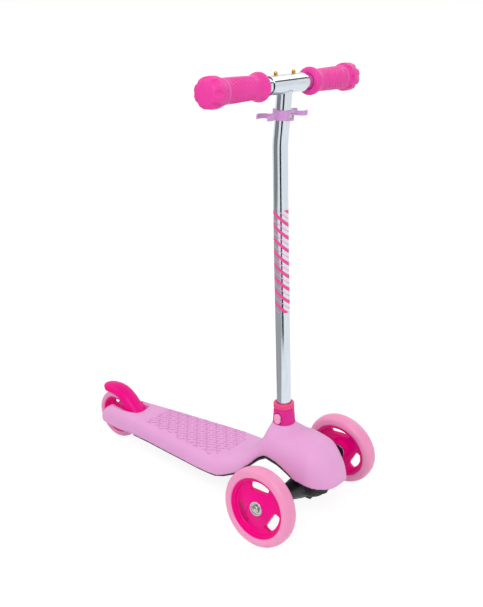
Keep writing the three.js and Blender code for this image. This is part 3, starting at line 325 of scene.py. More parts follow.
# Metal: polishing lines drawn out along one axis break up the reflections a little.
def metalFinish(name, light, deep, stretch, lineScale, gloss):
    material, tree, shader = startFinish(name)
    place = addShader(tree, "TexCoord", {}).outputs["Object"]
    drawn = addShader(tree, "Mapping", {"Scale": stretch, "Vector": place}).outputs["Vector"]
    lines = addShader(tree, "TexNoise", {"Scale": lineScale, "Detail": 4, "Vector": drawn})
    feed(tree, shader, {"Metallic": 1})
    addTones(tree, shader, light, deep, gloss, lines.outputs["Fac"], 0.35)
    return material


# Moulded finishes: what they are, light and deep tone, scale of the clouds, gloss from and to, grain
# (scale, strength and depth). The extras are what else a shader is given.
lilacGrain, gripGrain, plainGrain = (1400, 0.25, 0.06), (1600, 0.3, 0.06), (1500, 0.2, 0.05)
mouldings = {
    "lilac": ("lilac moulded plastic", (233, 168, 219), (228, 160, 213), 9, (0.46, 0.56), lilacGrain),
    # The tread strokes are raised relief in the deck's own lilac. Their darker tones are painted shade along
    # the strokes, not a different plastic.
    "tread": ("lilac tread strokes", (216, 140, 197), (210, 132, 190), 9, (0.46, 0.56), lilacGrain),
    "tyre": ("pale pink tyre rubber", (244, 158, 199), (239, 147, 191), 14, (0.28, 0.38), (900, 0.15, 0.05)),
    "hub": ("hot pink hub plastic", (243, 0, 140), (234, 0, 131), 16, (0.3, 0.4), (1200, 0.15, 0.04)),
    "grip": ("soft pink grip rubber", (242, 56, 166), (233, 44, 156), 24, (0.42, 0.55), gripGrain),
    "gripRing": ("pale ring in the grip", (240, 92, 178), (234, 84, 170), 24, (0.42, 0.55), gripGrain),
    "collar": ("collar plastic", (228, 34, 150), (219, 28, 142), 20, (0.32, 0.42), plainGrain),
    "cap": ("coral cap plastic", (242, 68, 132), (235, 60, 122), 20, (0.34, 0.44), plainGrain),
    "button": ("pale button plastic", (255, 170, 206), (252, 160, 198), 40, (0.3, 0.4), (1500, 0.2, 0.04)),
    "clip": ("mauve clip plastic", (210, 158, 212), (203, 150, 206), 30, (0.36, 0.46), plainGrain),
    "black": ("black moulded plastic", (32, 32, 37), (22, 22, 27), 18, (0.4, 0.55), (1300, 0.35, 0.08)),
    "rubber": ("black rubber", (30, 30, 33), (21, 21, 24), 30, (0.7, 0.85), (1300, 0.4, 0.08)),
}
softGrip = {"Subsurface Weight": 0.12, "Subsurface Scale": 0.003}
shaderExtras = {"tyre": {"Subsurface Weight": 0.3, "Subsurface Scale": 0.005}, "grip": softGrip,
                "gripRing": softGrip, "hub": {"Specular IOR Level": 0.14},
                "collar": {"Specular IOR Level": 0.3}}
# Metals: what they are, light and deep tone, how the polishing lines are drawn out, their scale, gloss.
chrome = ((214, 221, 229), (203, 211, 220))
metals = {
    "chrome": ("bright stem plating", *chrome, (1, 1, 0.04), 700, (0.1, 0.17)),
    "barChrome": ("bright bar plating", *chrome, (1, 0.04, 1), 700, (0.1, 0.17)),
    "steel": ("plain steel", (206, 205, 202), (184, 183, 180), (1, 1, 1), 900, (0.2, 0.34)),
    "brass": ("brass", (214, 176, 92), (198, 156, 70), (1, 1, 1), 700, (0.22, 0.34)),
}
finishes = {word: mouldedFinish(*row, shaderExtras.get(word, {})) for word, row in mouldings.items()}
finishes.update({word: metalFinish(*row) for word, row in metals.items()})


# One math node fed by sockets or plain numbers; gives back its output.
def reckon(tree, operation, *values):
    node = tree.nodes.new("ShaderNodeMath")
    node.operation = operation
    feed(tree, node, dict(enumerate(values)))
    return node.outputs[0]


# A mix of two colours. The node keeps its colour inputs at 6 and 7 and its colour output at 2.
def mixColours(tree, share, below, above):
    node = tree.nodes.new("ShaderNodeMix")
    node.data_type = "RGBA"
    feed(tree, node, {"Factor": share, 6: below, 7: above})
    return node.outputs[2]


# Painted bars on the stem: heights, slant, pitch, widths, and how far round the stem they reach.
paintLook = {"pink": (236, 70, 150), "rose": (246, 138, 178), "from": 322, "to": 474, "slant": 0.9,
             "pitch": 19, "width": 6, "fineWidth": 1.5, "fineOffset": 7.5, "reach": 1.2, "x": 155.6,
             "facing": (0.6, -0.8), "dullness": 0.25}


# The stem's plating with slanting painted bars on the side that faces forward and right.
def paintedFinish(name, plating, paint):
    material = metalFinish(name, *plating)
    tree = material.node_tree
    shader = tree.nodes["Principled BSDF"]
    x, y, z = addShader(tree, "SeparateXYZ", {0: addShader(tree, "TexCoord", {}).outputs["Object"]}).outputs
    ahead, aside = paint["facing"]

    def step(operation, *values):
        return reckon(tree, operation, *values)

    def weighed(first, firstShare, second, secondShare):
        return step("ADD", step("MULTIPLY", first, firstShare), step("MULTIPLY", second, secondShare))

    def barsAt(place, width):
        return step("LESS_THAN", step("MODULO", place, paint["pitch"] / 1000), width / 1000)

    towards = weighed(step("SUBTRACT", x, paint["x"] / 1000), ahead, y, aside)
    slanted = step("ADD", z, step("MULTIPLY", weighed(x, -aside, y, ahead), paint["slant"]))
    bars = barsAt(slanted, paint["width"])
    fine = barsAt(step("ADD", slanted, paint["fineOffset"] / 1000), paint["fineWidth"])
    field = step("MULTIPLY", step("GREATER_THAN", z, paint["from"] / 1000),
                  step("LESS_THAN", z, paint["to"] / 1000))
    field = step("MULTIPLY", field, step("GREATER_THAN", towards, paint["reach"] / 1000))
    mask = step("MULTIPLY", field, step("MAXIMUM", bars, fine))
    inks = mixColours(tree, bars, tint(*paint["rose"]), tint(*paint["pink"]))
    bright = shader.inputs["Base Color"].links[0].from_socket
    sheen = shader.inputs["Roughness"].links[0].from_socket
    feed(tree, shader, {
        "Base Color": mixColours(tree, mask, bright, inks),
        "Metallic": step("SUBTRACT", 1, mask),
        "Roughness": step("ADD", sheen, step("MULTIPLY", mask, paint["dullness"])),
    })
    return material


finishes["stem"] = paintedFinish("bright stem plating with bars", metals["chrome"][1:], paintLook)


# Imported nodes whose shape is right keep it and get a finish, chosen by the words in their names.
nodeFinishes = [
    ("deck_shell", "lilac"), ("tyre", "tyre"), ("hub", "hub"), ("rear_brake", "hub"), ("grip", "grip"),
    ("collar_body", "collar"), ("collar_cap", "cap"), ("release_button", "button"), ("storage_clip", "clip"),
    ("under_cover", "black"), ("truck", "black"), ("retainer", "black"), ("bush", "rubber"),
    ("rubber", "rubber"), ("brake_pad", "rubber"), ("stem_tube", "chrome"), ("t_crossbar", "barChrome"),
    ("handlebar_tube", "barChrome"), ("snap_button", "brass"), ("", "steel"),
]
for name, node in nodes.items():
    finish = next(finish for word, finish in nodeFinishes if word in name)
    node.data.materials.clear()
    node.data.materials.append(finishes[finish])
print("packed nodes finished")


# Body: deck and nose in one moulding. Widths in the deck are shares from the tail's to the deck's, in
# the nose of the deck's. Tops are shares from the deck to the neck, edges from the deck's to the arch's.
bodyShape = {
    "tailX": -243.25, "waistX": 87.75, "noseX": 266.25, "tailHalfWidth": 30.4, "deckHalfWidth": 58,
    "deckTop": 69, "neckTop": 142.5, "deckEdge": 39.3, "archPeak": 99, "crown": 0.03,
    "wall": 3, "voxel": 1.7, "rings": 150, "arcSteps": 40,
    "slotRearX": -250, "slotFrontX": -161, "slotHalfWidth": 15.5, "pocketRearX": -194,
    "pocketHalfWidth": 18.3, "lining": 2.6, "collarBore": 14.7, "stemRoom": 11.3,
}
deckShares = [
    (1, -0.087, -0.177, -0.033, 2.6), (0.982, -0.032, -0.122, -0.098, 3), (0.952, 0.021, -0.054, -0.115, 3.4),
    (0.918, 0.075, -0.007, -0.107, 3.8), (0.864, 0.13, 0, -0.115, 4), (0.725, 0.294, 0, -0.033, 4),
    (0.592, 0.493, 0, 0, 4), (0.326, 0.819, 0, 0, 4), (0.202, 0.965, 0, 0, 4), (0.136, 1, 0, 0, 4),
    (0.091, 0.981, 0.014, 0, 3.8), (0.042, 0.891, 0.041, 0.066, 3.5),
]
noseShares = [
    (0, 0.888, 0.109, 0.164, 3.2), (0.056, 0.845, 0.19, 0.246, 2.9), (0.129, 0.793, 0.327, 0.443, 2.7),
    (0.196, 0.759, 0.517, 0.623, 2.6), (0.252, 0.75, 0.667, 0.787, 2.5), (0.286, 0.741, 0.803, 0.869, 2.4),
    (0.353, 0.741, 0.857, 0.97, 2.4), (0.476, 0.759, 0.884, 0.905, 2.35), (0.56, 0.793, 0.898, 0.823, 2.35),
    (0.65, 0.798, 0.884, 0.68, 2.35), (0.711, 0.793, 0.857, 0.628, 2.35), (0.773, 0.767, 0.816, 0.588, 2.35),
    (0.824, 0.698, 0.728, 0.532, 2.3), (0.874, 0.586, 0.626, 0.5, 2.3), (0.913, 0.491, 0.531, 0.483, 2.25),
    (0.947, 0.379, 0.408, 0.491, 2.2), (0.975, 0.25, 0.299, 0.535, 2.1), (0.992, 0.129, 0.231, 0.59, 2),
    (1, 0.03, 0.18, 0.69, 2),
]
neckShape = {
    "x": 156.95, "radius": 17.6, "height": 37, "front": 66, "rear": 17.5, "side": 23, "rings": 26,
    "steps": 72,
    # depth, then shares of the flare's reach to the rear, the front and the sides
    "shares": [(0, 0, 0, 0), (0.09, 0.07, 0.03, 0.06), (0.2, 0.18, 0.1, 0.21), (0.31, 0.29, 0.25, 0.45),
               (0.45, 0.41, 0.44, 0.69), (0.63, 0.54, 0.66, 0.89), (0.88, 0.78, 0.8, 1), (1, 1, 0.84, 1)],
    "blendLow": 80, "blendHigh": 138, "blendRounds": 30, "blendReach": 92, "blendFromX": 118,
}
dishShape = {"x": -192.25, "bottom": 61.8, "rise": 23, "reachX": 65.96, "reachY": 35.6, "above": 52,
             "roomLow": (-251, -34, 52), "roomHigh": (-120, 34, 101)}
creaseShape = {"depth": 2.3, "width": 2.5, "fromX": 185, "fromZ": 88,
               "path": [(196, 19, 129), (212, 18.5, 126), (226, 17, 122), (236, 15, 114), (243, 13.5, 107)]}


# A smooth curve through rows of (place, value, ...), with no swing beyond them.
def between(rows, place):
    i = min(max(sum(row[0] <= place for row in rows) - 1, 0), len(rows) - 2)
    here, there = rows[i], rows[i + 1]
    span = there[0] - here[0]
    share = min(max((place - here[0]) / span, 0), 1)

    def slope(k, column):
        return (rows[k][column] - rows[k - 1][column]) / (rows[k][0] - rows[k - 1][0])

    def steepness(k, column):
        if k <= 0 or k >= len(rows) - 1:
            return slope(min(max(k, 1), len(rows) - 1), column)
        before, after = slope(k, column), slope(k + 1, column)
        return 2 * before * after / (before + after) if before * after > 0 else 0

    values = []
    for column in range(1, len(here)):
        rise = there[column] - here[column]
        first, last = steepness(i, column) * span, steepness(i + 1, column) * span
        values.append(here[column] + first * share + (3 * rise - 2 * first - last) * share ** 2
                      + (first + last - 2 * rise) * share ** 3)
    return values


def bodyRows():
    shape = bodyShape
    deckLength = shape["tailX"] - shape["waistX"]
    noseLength = shape["noseX"] - shape["waistX"]
    widthGain = shape["deckHalfWidth"] - shape["tailHalfWidth"]
    waist, tailHalf = shape["waistX"], shape["tailHalfWidth"]
    places = [(waist + share * deckLength, tailHalf + width * widthGain, top, edge, square)
              for share, width, top, edge, square in deckShares]
    places += [(waist + share * noseLength, width * shape["deckHalfWidth"], top, edge, square)
               for share, width, top, edge, square in noseShares]
    rise, arch = shape["neckTop"] - shape["deckTop"], shape["archPeak"] - shape["deckEdge"]
    return [(x, half, shape["deckTop"] + top * rise, shape["deckEdge"] + edge * arch, square)
            for x, half, top, edge, square in places]


rowsOfBody = bodyRows()


def loftPiece(name, rings):
    mesh = bmesh.new()
    rows = [[mesh.verts.new(point) for point in ring] for ring in rings]
    for near, far in zip(rows, rows[1:]):
        for i in range(len(near)):
            j = (i + 1) % len(near)
            mesh.faces.new((near[i], near[j], far[j], far[i]))
    mesh.faces.new(rows[0])
    mesh.faces.new(list(reversed(rows[-1])))
    data = bpy.data.meshes.new(name)
    mesh.to_mesh(data)
    mesh.free()
    piece = linkObject(name, data)
    return tidyNormals(piece)


def bodyRing(x, inset, skirt):
    half, top, edge, square = between(rowsOfBody, x)
    half, top = half - inset, top - inset
    crown = 1 + bodyShape["crown"] * max(0, square - 3)
    ring = []
    for step in range(bodyShape["arcSteps"] + 1):
        angle = math.pi * (1 - step / bodyShape["arcSteps"])
        across = math.copysign(abs(math.cos(angle)) ** (2 / square), math.cos(angle))
        up = min(1, crown * abs(math.sin(angle)) ** (2 / square))
        ring.append(mm(x, across * half, edge + up * (top - edge)))
    return ring + [mm(x, half, edge - skirt), mm(x, -half, edge - skirt)] if skirt else ring


# Height of the deck's top at any place on it.
def deckHeight(x, y):
    half, top, edge, square = between(rowsOfBody, x)
    cosine = min(1, abs(y) / half) ** (square / 2)
    crown = 1 + bodyShape["crown"] * max(0, square - 3)
    return edge + min(1, crown * (1 - cosine ** 2) ** (1 / square)) * (top - edge)


def bodySolid(name, inset, skirt, rings):
    low, high = bodyShape["tailX"] + inset, bodyShape["noseX"] - 3 * inset
    middle, reach = (low + high) / 2, (high - low) / 2
    places = [middle - reach * math.cos(math.pi * step / rings) for step in range(rings + 1)]
    return loftPiece(name, [bodyRing(x, inset, skirt) for x in places])


def neckSolid(name, inset):
    rings = []
    for ring in range(neckShape["rings"] + 1):
        depth = ring / neckShape["rings"]
        rear, front, side = between(neckShape["shares"], depth)
        reaches = [neckShape["radius"] + share * neckShape[word] - inset
                   for share, word in ((rear, "rear"), (front, "front"), (side, "side"))]
        z = bodyShape["neckTop"] - inset - depth * neckShape["height"]
        points = []
        for step in range(neckShape["steps"]):
            angle = 2 * math.pi * step / neckShape["steps"]
            along = reaches[0] if math.cos(angle) < 0 else reaches[1]
            points.append(mm(neckShape["x"] + along * math.cos(angle), reaches[2] * math.sin(angle), z))
        rings.append(points)
    return loftPiece(name, rings)


# Distance from a point to a path of straight stretches.
def distanceTo(path, point):
    best = 1e9
    for start, end in zip(path, path[1:]):
        run = end - start
        share = min(max((point - start).dot(run) / run.length_squared, 0), 1)
        best = min(best, (point - start - share * run).length)
    return best


# Sinks the dish round the rear wheel and the two creases of the nose into the surface.
def shapeBodySurface(piece):
    dish, crease = dishShape, creaseShape
    path = [mm(*point) for point in crease["path"]]
    mirrored = [Vector((point.x, -point.y, point.z)) for point in path]
    depth, width = crease["depth"] / 1000, crease["width"] / 1000
    for vertex in piece.data.vertices:
        place = vertex.co * 1000
        across = ((place.x - dish["x"]) / dish["reachX"]) ** 2 + (place.y / dish["reachY"]) ** 2
        if across < 1 and place.z > dish["above"]:
            floorZ = dish["bottom"] + dish["rise"] * (1 - math.sqrt(1 - across))
            vertex.co.z = min(vertex.co.z, floorZ / 1000)
        if place.x > crease["fromX"] and place.z > crease["fromZ"]:
            away = min(distanceTo(path, vertex.co), distanceTo(mirrored, vertex.co))
            vertex.co -= vertex.normal * depth * math.exp(-(away / width) ** 2)


# Softens the fillet where the neck grows out of the nose.
def blendNeck(body):
    neck = neckShape
    blend = body.vertex_groups.new(name="neck blend")
    for vertex in body.data.vertices:
        place = vertex.co * 1000
        near = math.hypot(place.x - neck["x"], place.y) < neck["blendReach"]
        if near and neck["blendLow"] < place.z < neck["blendHigh"] and place.x > neck["blendFromX"]:
            blend.add([vertex.index], 1, "REPLACE")
    addModifier(body, "SMOOTH", factor=0.5, iterations=neck["blendRounds"], vertex_group="neck blend")
    addModifier(body, "SMOOTH", factor=0.5, iterations=3)


def makeBody():
    shape = bodyShape
    slot, pocket, wall = pick(shape, "slotHalfWidth pocketHalfWidth lining")
    rear, pocketRear, slotFront, high = *pick(shape, "slotRearX pocketRearX slotFrontX"), 100
    body = bodySolid("deck_and_nose", 0, 0, shape["rings"])
    combine(body, [neckSolid("neck", 0)], "UNION")
    addModifier(body, "REMESH", mode="VOXEL", voxel_size=shape["voxel"] / 1000, adaptivity=0)
    blendNeck(body)
    shapeBodySurface(body)
    body.vertex_groups.clear()
    hollow = bodySolid("hollow", shape["wall"], 20, 60)
    combine(hollow, [neckSolid("neck_hollow", shape["wall"])], "UNION")
    combine(hollow, [
        blockPiece("slot_lining", (rear, -slot - wall, 0), (slotFront + wall, slot + wall, high)),
        blockPiece("pocket_lining", (pocketRear - wall, -pocket - wall, 0),
                   (slotFront + wall + 0.1, pocket + wall, high - 1)),
        blockPiece("dish_room", dishShape["roomLow"], dishShape["roomHigh"]),
    ])
    bore = rodPiece("collar_bore", shape["collarBore"], 112, 150)
    stemRoom = rodPiece("stem_room", shape["stemRoom"], 90, 150)
    for cutter in (bore, stemRoom):
        cutter.location.x = neckShape["x"] / 1000
    slotCut = blockPiece("slot", (rear, -slot, 0), (slotFront, slot, high))
    pocketCut = blockPiece("brake_pocket", (pocketRear, -pocket, -1), (slotFront + 0.05, pocket, high - 1))
    combine(body, [hollow, bore, stemRoom, slotCut, pocketCut])
    tidyNormals(body)
    return smoothPiece(body, 40)


finishPiece(makeBody(), "lilac", "deck_plastic", "deck_shell")
print("deck and nose made")


# Tread: short raised strokes that swing against each other from row to row.
treadShape = {"rearX": -122, "frontX": 68, "frontBow": 20, "bowWidth": 45, "rowPitch": 6.2, "rows": 7,
              "swing": 2.5, "wave": 22, "margin": 10.5, "thickness": 1.4, "gap": 0.11, "steps": 9}


# The points of one stroke, seen from above.
def strokePoints(row, number):
    tread = treadShape
    points = []
    for step in range(tread["steps"] + 1):
        share = tread["gap"] + (1 - 2 * tread["gap"]) * step / tread["steps"]
        x = tread["rearX"] + (number + share) * tread["wave"] / 2
        swing = tread["swing"] * math.cos(math.pi * (number + share + row / 2))
        points.append((x, row * tread["rowPitch"] + swing))
    return points


def makeTread():
    tread = treadShape
    count = int((tread["frontX"] - tread["rearX"]) / (tread["wave"] / 2))
    runs = []
    for row in range(-tread["rows"], tread["rows"] + 1):
        for points in [strokePoints(row, number) for number in range(count)]:
            width = min(between(rowsOfBody, x)[0] for x, _ in points) - tread["margin"]
            front = tread["frontX"] - tread["frontBow"] * (points[0][1] / tread["bowWidth"]) ** 2
            if max(abs(y) for _, y in points) <= width and max(x for x, _ in points) <= front:
                runs.append([(x, y, deckHeight(x, y)) for x, y in points])
    return smoothPiece(beadPiece("deck_tread", runs, tread["thickness"] / 2, 2, False), 50)


# The strokes get the darker tread finish: painted shade laid over their real raised relief.
finishPiece(makeTread(), "tread", "deck_plastic")
print("tread made")


# Wheels. Radii and heights along the axle; the front wheels lean in at the top.
wheelPlaces = {"axleX": 192.75, "track": 217, "frontAxleZ": 59.876, "rearAxleX": -221.25,
               "rearAxleZ": 45, "camber": 6}
# The tread's section: share of the depth from the seat, then share of the half width.
tyreSection = [(0, 0.84), (0.08, 0.93), (0.2, 0.985), (0.36, 1), (0.52, 0.985), (0.66, 0.93), (0.78, 0.84),
               (0.88, 0.7), (0.95, 0.52), (0.985, 0.32), (0.99, 0.07), (1, 0.04)]
frontTyre = {"radius": 60, "seat": 46, "halfWidth": 12.25, "steps": 96}
rearTyre = {"radius": 45, "seat": 34, "halfWidth": 12, "steps": 88}
hubShape = {"rim": 4.8, "lip": 2.2, "lipStep": 2.6, "boss": 14.9, "bore": 11.3, "seatDepth": 7.3,
            "shoulder": 9.1}
frontHub = {**hubShape, "seat": 45.7, "rimHalf": 10.2, "bossHalf": 10.25, "dish": 7.5, "web": 5.5,
            "windowFlat": 24.6, "windowOuter": 38.3, "windowHalf": 17, "corner": 3.2, "steps": 96}
rearHub = {**hubShape, "seat": 33.7, "rimHalf": 9.5, "bossHalf": 14.5, "dish": 6.5, "web": 5,
           "windowFlat": 18.6, "windowOuter": 26.6, "windowHalf": 12, "corner": 2.2, "steps": 84}
# Ball bearing: two chamfered races with a shield a little below their faces.
bearingShape = {"width": 7, "outline": [
    (4.2, 0.3), (4.5, 0), (10.6, 0), (11, 0.4), (11, 6.6), (10.6, 7), (8.9, 7), (8.7, 6.6), (8.6, 6.2),
    (6.3, 6.2), (6.2, 6.6), (6, 7), (4.5, 7), (4.2, 6.7)]}
boltShape = {"shank": 3.8, "end": -32.2, "seat": 10.55, "head": 6, "height": 3.4, "rim": 1,
             "chamfer": 0.4, "socket": 2.9, "socketDepth": 2}


def frontSeat(side):
    place = shift(wheelPlaces["axleX"], side * wheelPlaces["track"] / 2, wheelPlaces["frontAxleZ"])
    return place @ turned(-side * (90 - wheelPlaces["camber"]), "X")


rearSeat = shift(wheelPlaces["rearAxleX"], 0, wheelPlaces["rearAxleZ"]) @ turned(90, "X")


def makeTyre(name, tyre):
    depth = tyre["radius"] - tyre["seat"]
    right = [(tyre["seat"] + share * depth, width * tyre["halfWidth"]) for share, width in tyreSection]
    left = [(radius, -height) for radius, height in reversed(right)]
    return smoothPiece(turnPiece(name, right + left, tyre["steps"]), 60)


def windowOutline(hub):
    corner, outer, half = hub["corner"], hub["windowOuter"], hub["windowHalf"] - hub["corner"]
    innerX = hub["windowFlat"] + corner
    outerX = math.sqrt((outer - corner) ** 2 - half ** 2)
    spread = math.degrees(math.atan2(half, outerX))
    return (arc(0, 0, outer, -spread, spread, 14) + arc(outerX, half, corner, spread, 90, 4)[1:]
            + arc(innerX, half, corner, 90, 180, 5) + arc(innerX, -half, corner, 180, 270, 5)
            + arc(outerX, -half, corner, 270, 360 - spread, 4)[:-1])


# The hub's section: stepped rim, then a web that swells towards the boss and its bearing seats.
def hubOutline(hub):
    seat, rimHalf, boss, bossHalf, bore, shoulder = pick(hub, "seat rimHalf boss bossHalf bore shoulder")
    shoulderHalf = bossHalf - hub["seatDepth"]
    rimInner, face = seat - hub["rim"], rimHalf - hub["dish"]
    lip, lipFace, back = seat - hub["lip"], rimHalf - hub["lipStep"], face - hub["web"]
    swell = bossHalf - 1 - face
    middle = (rimInner + boss) / 2
    rim = [(seat, -rimHalf), (seat, rimHalf), (lip, rimHalf), (lip - 0.3, lipFace), (rimInner, lipFace - 0.3)]
    web = [(rimInner - 0.6, face + 1.6), (rimInner - 1.5, face + 0.5), (rimInner - 3.2, face + 0.2),
           (middle + 2, face + 0.34 * swell), (middle - 3, face + 0.62 * swell)]
    front = [(boss + 1.6, face + 0.93 * swell), (boss, bossHalf - 0.4), (boss - 0.6, bossHalf)]
    seats = [(bore, bossHalf), (bore, shoulderHalf), (shoulder, shoulderHalf), (shoulder, -shoulderHalf),
             (bore, -shoulderHalf), (bore, -bossHalf), (boss, -bossHalf)]
    rear = [(boss + 0.6, back + 2), (boss + 2.5, back + 1), (rimInner - 2, back),
            (rimInner - 0.4, back - 1.6), (rimInner + 0.6, -rimHalf)]
    return rim + web + front + seats + rear


def makeHub(name, hub, firstWindow):
    piece = turnPiece(name, hubOutline(hub), hub["steps"])
    window = platePiece("window", windowOutline(hub), -hub["rimHalf"], hub["rimHalf"])
    cutters = [seatPiece(copyPiece(window, f"window_{number}"), turned(firstWindow + 120 * number, "Z"))
               for number in range(3)]
    bpy.data.objects.remove(window)
    combine(piece, cutters)
    return smoothPiece(roundEdges(piece, 0.7, 3, 38), 40)


def makeBolt(name):
    bolt = boltShape
    shank, seat, head, end, edge = pick(bolt, "shank seat head end chamfer")
    stalk = [(0, end), (shank - edge, end), (shank, end + edge)]
    crown = dome(head, seat + bolt["rim"], bolt["height"] - bolt["rim"])
    piece = turnPiece(name, stalk + [(shank, seat), (head, seat)] + crown, 40)
    top = seat + bolt["height"]
    combine(piece, [rodPiece("socket", bolt["socket"], top - bolt["socketDepth"], top + 2, 6)])
    return smoothPiece(tidyNormals(piece), 35)


def seatCopy(master, name, seat, node):
    finishPiece(seatPiece(copyPiece(master, name), seat), "steel", "steel", node)


# Tyre, hub and two bearings of one wheel. The suffix tells the pieces of the two front wheels apart.
def makeWheel(kind, suffix, node, seat, tyreSizes, hubSizes, firstWindow):
    tyre = seatPiece(makeTyre(f"{kind}_tyre{suffix}", tyreSizes), seat)
    finishPiece(tyre, "tyre", "tyre_pink", f"{node}_tyre")
    hub = seatPiece(makeHub(f"{kind}_hub{suffix}", hubSizes, firstWindow), seat)
    finishPiece(hub, "hub", "hub_pink", f"{node}_hub")
    lift = shift(0, 0, hubSizes["bossHalf"] - bearingShape["width"])
    for place, turn in (("outer", 0), ("inner", 180)):
        seatCopy(bearing, f"{kind}_bearing_{place}{suffix}", seat @ turned(turn, "X") @ lift,
                 f"{node}_bearing_{place}")


bearing = smoothPiece(turnPiece("bearing", bearingShape["outline"], 56), 30)
bolt = makeBolt("bolt")
for side, word in ((-1, "right"), (1, "left")):
    node = f"front_wheel_{word}"
    makeWheel("front", f"_{word}", node, frontSeat(side), frontTyre, frontHub, -side * 90)
    seatCopy(bolt, f"front_bolt_{word}", frontSeat(side), f"{node}_axle_bolt")
makeWheel("rear", "", "rear_wheel", rearSeat, rearTyre, rearHub, 90)
bpy.data.objects.remove(bearing)
bpy.data.objects.remove(bolt)
print("wheels made")


# Brake guard: a hood over the rear wheel. Rows give the angle about the rear axle in degrees, then
# the crest's radius, the half width and the lower edge's radius. The strap, in angles and radii, joins
# an ear's knuckle to the hood.
brakeShape = {
    "wall": 3, "squareness": 2.3, "rings": 60, "arcSteps": 28, "pivotX": -168.25, "pivotZ": 59,
    "knuckle": 5, "bore": 2.8, "ears": (6.9, 14.9), "strap": ((20, 53.5), (33, 52), (33, 47), (20, 47)),
    "rows": [(13, 60.4, 17.6, 38.6), (17, 60, 17.6, 38), (21, 58.6, 17.5, 38), (26, 57, 17.4, 38),
             (33, 55.5, 17.2, 38), (44, 54.7, 17, 38.6), (56, 55.2, 16.5, 40), (68, 56.1, 16.2, 41.9),
             (80, 56.8, 16.1, 43.2), (92, 57.8, 16, 44.4), (102, 58.9, 15.8, 45.5), (111, 60.5, 15, 46.9),
             (117.5, 61.5, 13.4, 49.1), (120.8, 61.7, 11.4, 51.4), (122.5, 61.6, 9.8, 53.2)],
}


def aboutRearAxle(angle, radius):
    turn = math.radians(angle)
    return (wheelPlaces["rearAxleX"] + radius * math.cos(turn),
            wheelPlaces["rearAxleZ"] + radius * math.sin(turn))


def brakeRing(angle):
    crest, half, edge = between(brakeShape["rows"], angle)
    steps, power = brakeShape["arcSteps"], 2 / brakeShape["squareness"]
    ring = []
    for inset, order in ((0, range(steps + 1)), (brakeShape["wall"], range(steps, -1, -1))):
        for step in order:
            turn = math.pi * step / steps
            across = math.copysign(abs(math.cos(turn)) ** power, math.cos(turn)) * (half - inset)
            x, z = aboutRearAxle(angle, edge + abs(math.sin(turn)) ** power * (crest - inset - edge))
            ring.append(mm(x, across, z))
    return ring


def makeBrake():
    brake = brakeShape
    first, last, rings = brake["rows"][0][0], brake["rows"][-1][0], brake["rings"]
    angles = [first + (last - first) * ring / rings for ring in range(rings + 1)]
    guard = loftPiece("brake_guard", [brakeRing(angle) for angle in angles])
    pivotX, pivotZ, near, far = brake["pivotX"], brake["pivotZ"], *brake["ears"]
    knuckle = arc(pivotX, pivotZ, brake["knuckle"], 210, 390, 14)
    side = knuckle + [aboutRearAxle(*point) for point in brake["strap"]]
    ears = [seatPiece(platePiece("brake_ear", side, low, high), turned(90, "X"))
            for low, high in ((-far, -near), (near, far))]
    combine(guard, ears, "UNION")
    pin = shift(pivotX, 0, pivotZ) @ turned(90, "X")
    combine(guard, [seatPiece(rodPiece("pin_bore", brake["bore"], -30, 30, 32), pin)])
    return smoothPiece(roundEdges(guard, 0.8, 3, 50), 45)


finishPiece(makeBrake(), "hub", "hub_pink", "rear_brake")
print("brake made")


# Collar, cap and release button.
collarShape = {"x": 156.95, "bore": 11.3, "spigot": 14.4, "foot": 118.5, "seat": 142.8, "low": 17.3,
               "high": 15.6, "top": 166.8, "step": 0.8, "facet": 15.5, "facetHalf": 12, "facetRise": 1.2,
               "facetTop": 163.4, "recessWidth": 13, "recessHeight": 18.8, "recessDepth": 8, "buttonZ": 152.4}
capShape = {"bore": 11.35, "radius": 16, "bottom": 167.3, "top": 176, "round": 3, "chamfer": 0.5,
            "boreChamfer": 0.7}
buttonShape = {"width": 11, "height": 16.6, "seat": 14.6, "face": 18.8, "plunger": 3.2, "end": 7.5}
acrossRight = shift(collarShape["x"], 0, collarShape["buttonZ"]) @ turned(90, "X")


def stadium(name, width, height, bottom, top):
    radius, rise = width / 2, (height - width) / 2
    outline = arc(0, rise, radius, 0, 180, 16) + arc(0, -rise, radius, 180, 360, 16)
    return platePiece(name, outline, bottom, top)


def makeCollar():
    shape = collarShape
    bore, spigot, foot, seat, low, high, top = pick(shape, "bore spigot foot seat low high top")
    collar = turnPiece("collar", [(bore, foot), (spigot, foot), (spigot, seat), (low, seat),
                                  (low, seat + shape["step"]), (high, top), (bore, top)], 80)
    seatPiece(collar, shift(shape["x"], 0, 0))
    left, right = shape["x"] - shape["facetHalf"], shape["x"] + shape["facetHalf"]
    facet = blockPiece("facet", (left, -24, seat + shape["facetRise"]),
                       (right, -shape["facet"], shape["facetTop"]))
    recess = stadium("recess", shape["recessWidth"], shape["recessHeight"], shape["recessDepth"], 24)
    combine(collar, [facet, seatPiece(recess, acrossRight)])
    return smoothPiece(roundEdges(collar, 0.6, 2, 30), 35)


def makeButton():
    shape = buttonShape
    button = stadium("button", shape["width"], shape["height"], shape["seat"], shape["face"])
    roundEdges(button, 1.3, 4, 60)
    plunger = rodPiece("plunger", shape["plunger"], shape["end"], shape["seat"] + 1, 32)
    combine(button, [plunger], "UNION")
    return smoothPiece(seatPiece(button, acrossRight), 50)


def makeCap():
    bore, radius, bottom, top, rounding = pick(capShape, "bore radius bottom top round")
    edge, mouth = pick(capShape, "chamfer boreChamfer")
    outline = [(bore, bottom), (radius - edge, bottom), (radius, bottom + edge)]
    outline += arc(radius - rounding, top - rounding, rounding, 0, 90, 6)
    piece = turnPiece("collar_cap_ring", outline + [(bore + mouth, top), (bore, top - mouth)], 80)
    return smoothPiece(seatPiece(piece, shift(collarShape["x"], 0, 0)), 40)


finishPiece(makeCap(), "cap", "collar_pink", "collar_cap")
finishPiece(makeCollar(), "collar", "collar_pink", "collar_body")
finishPiece(makeButton(), "button", "button_pink", "release_button")
print("collar made")


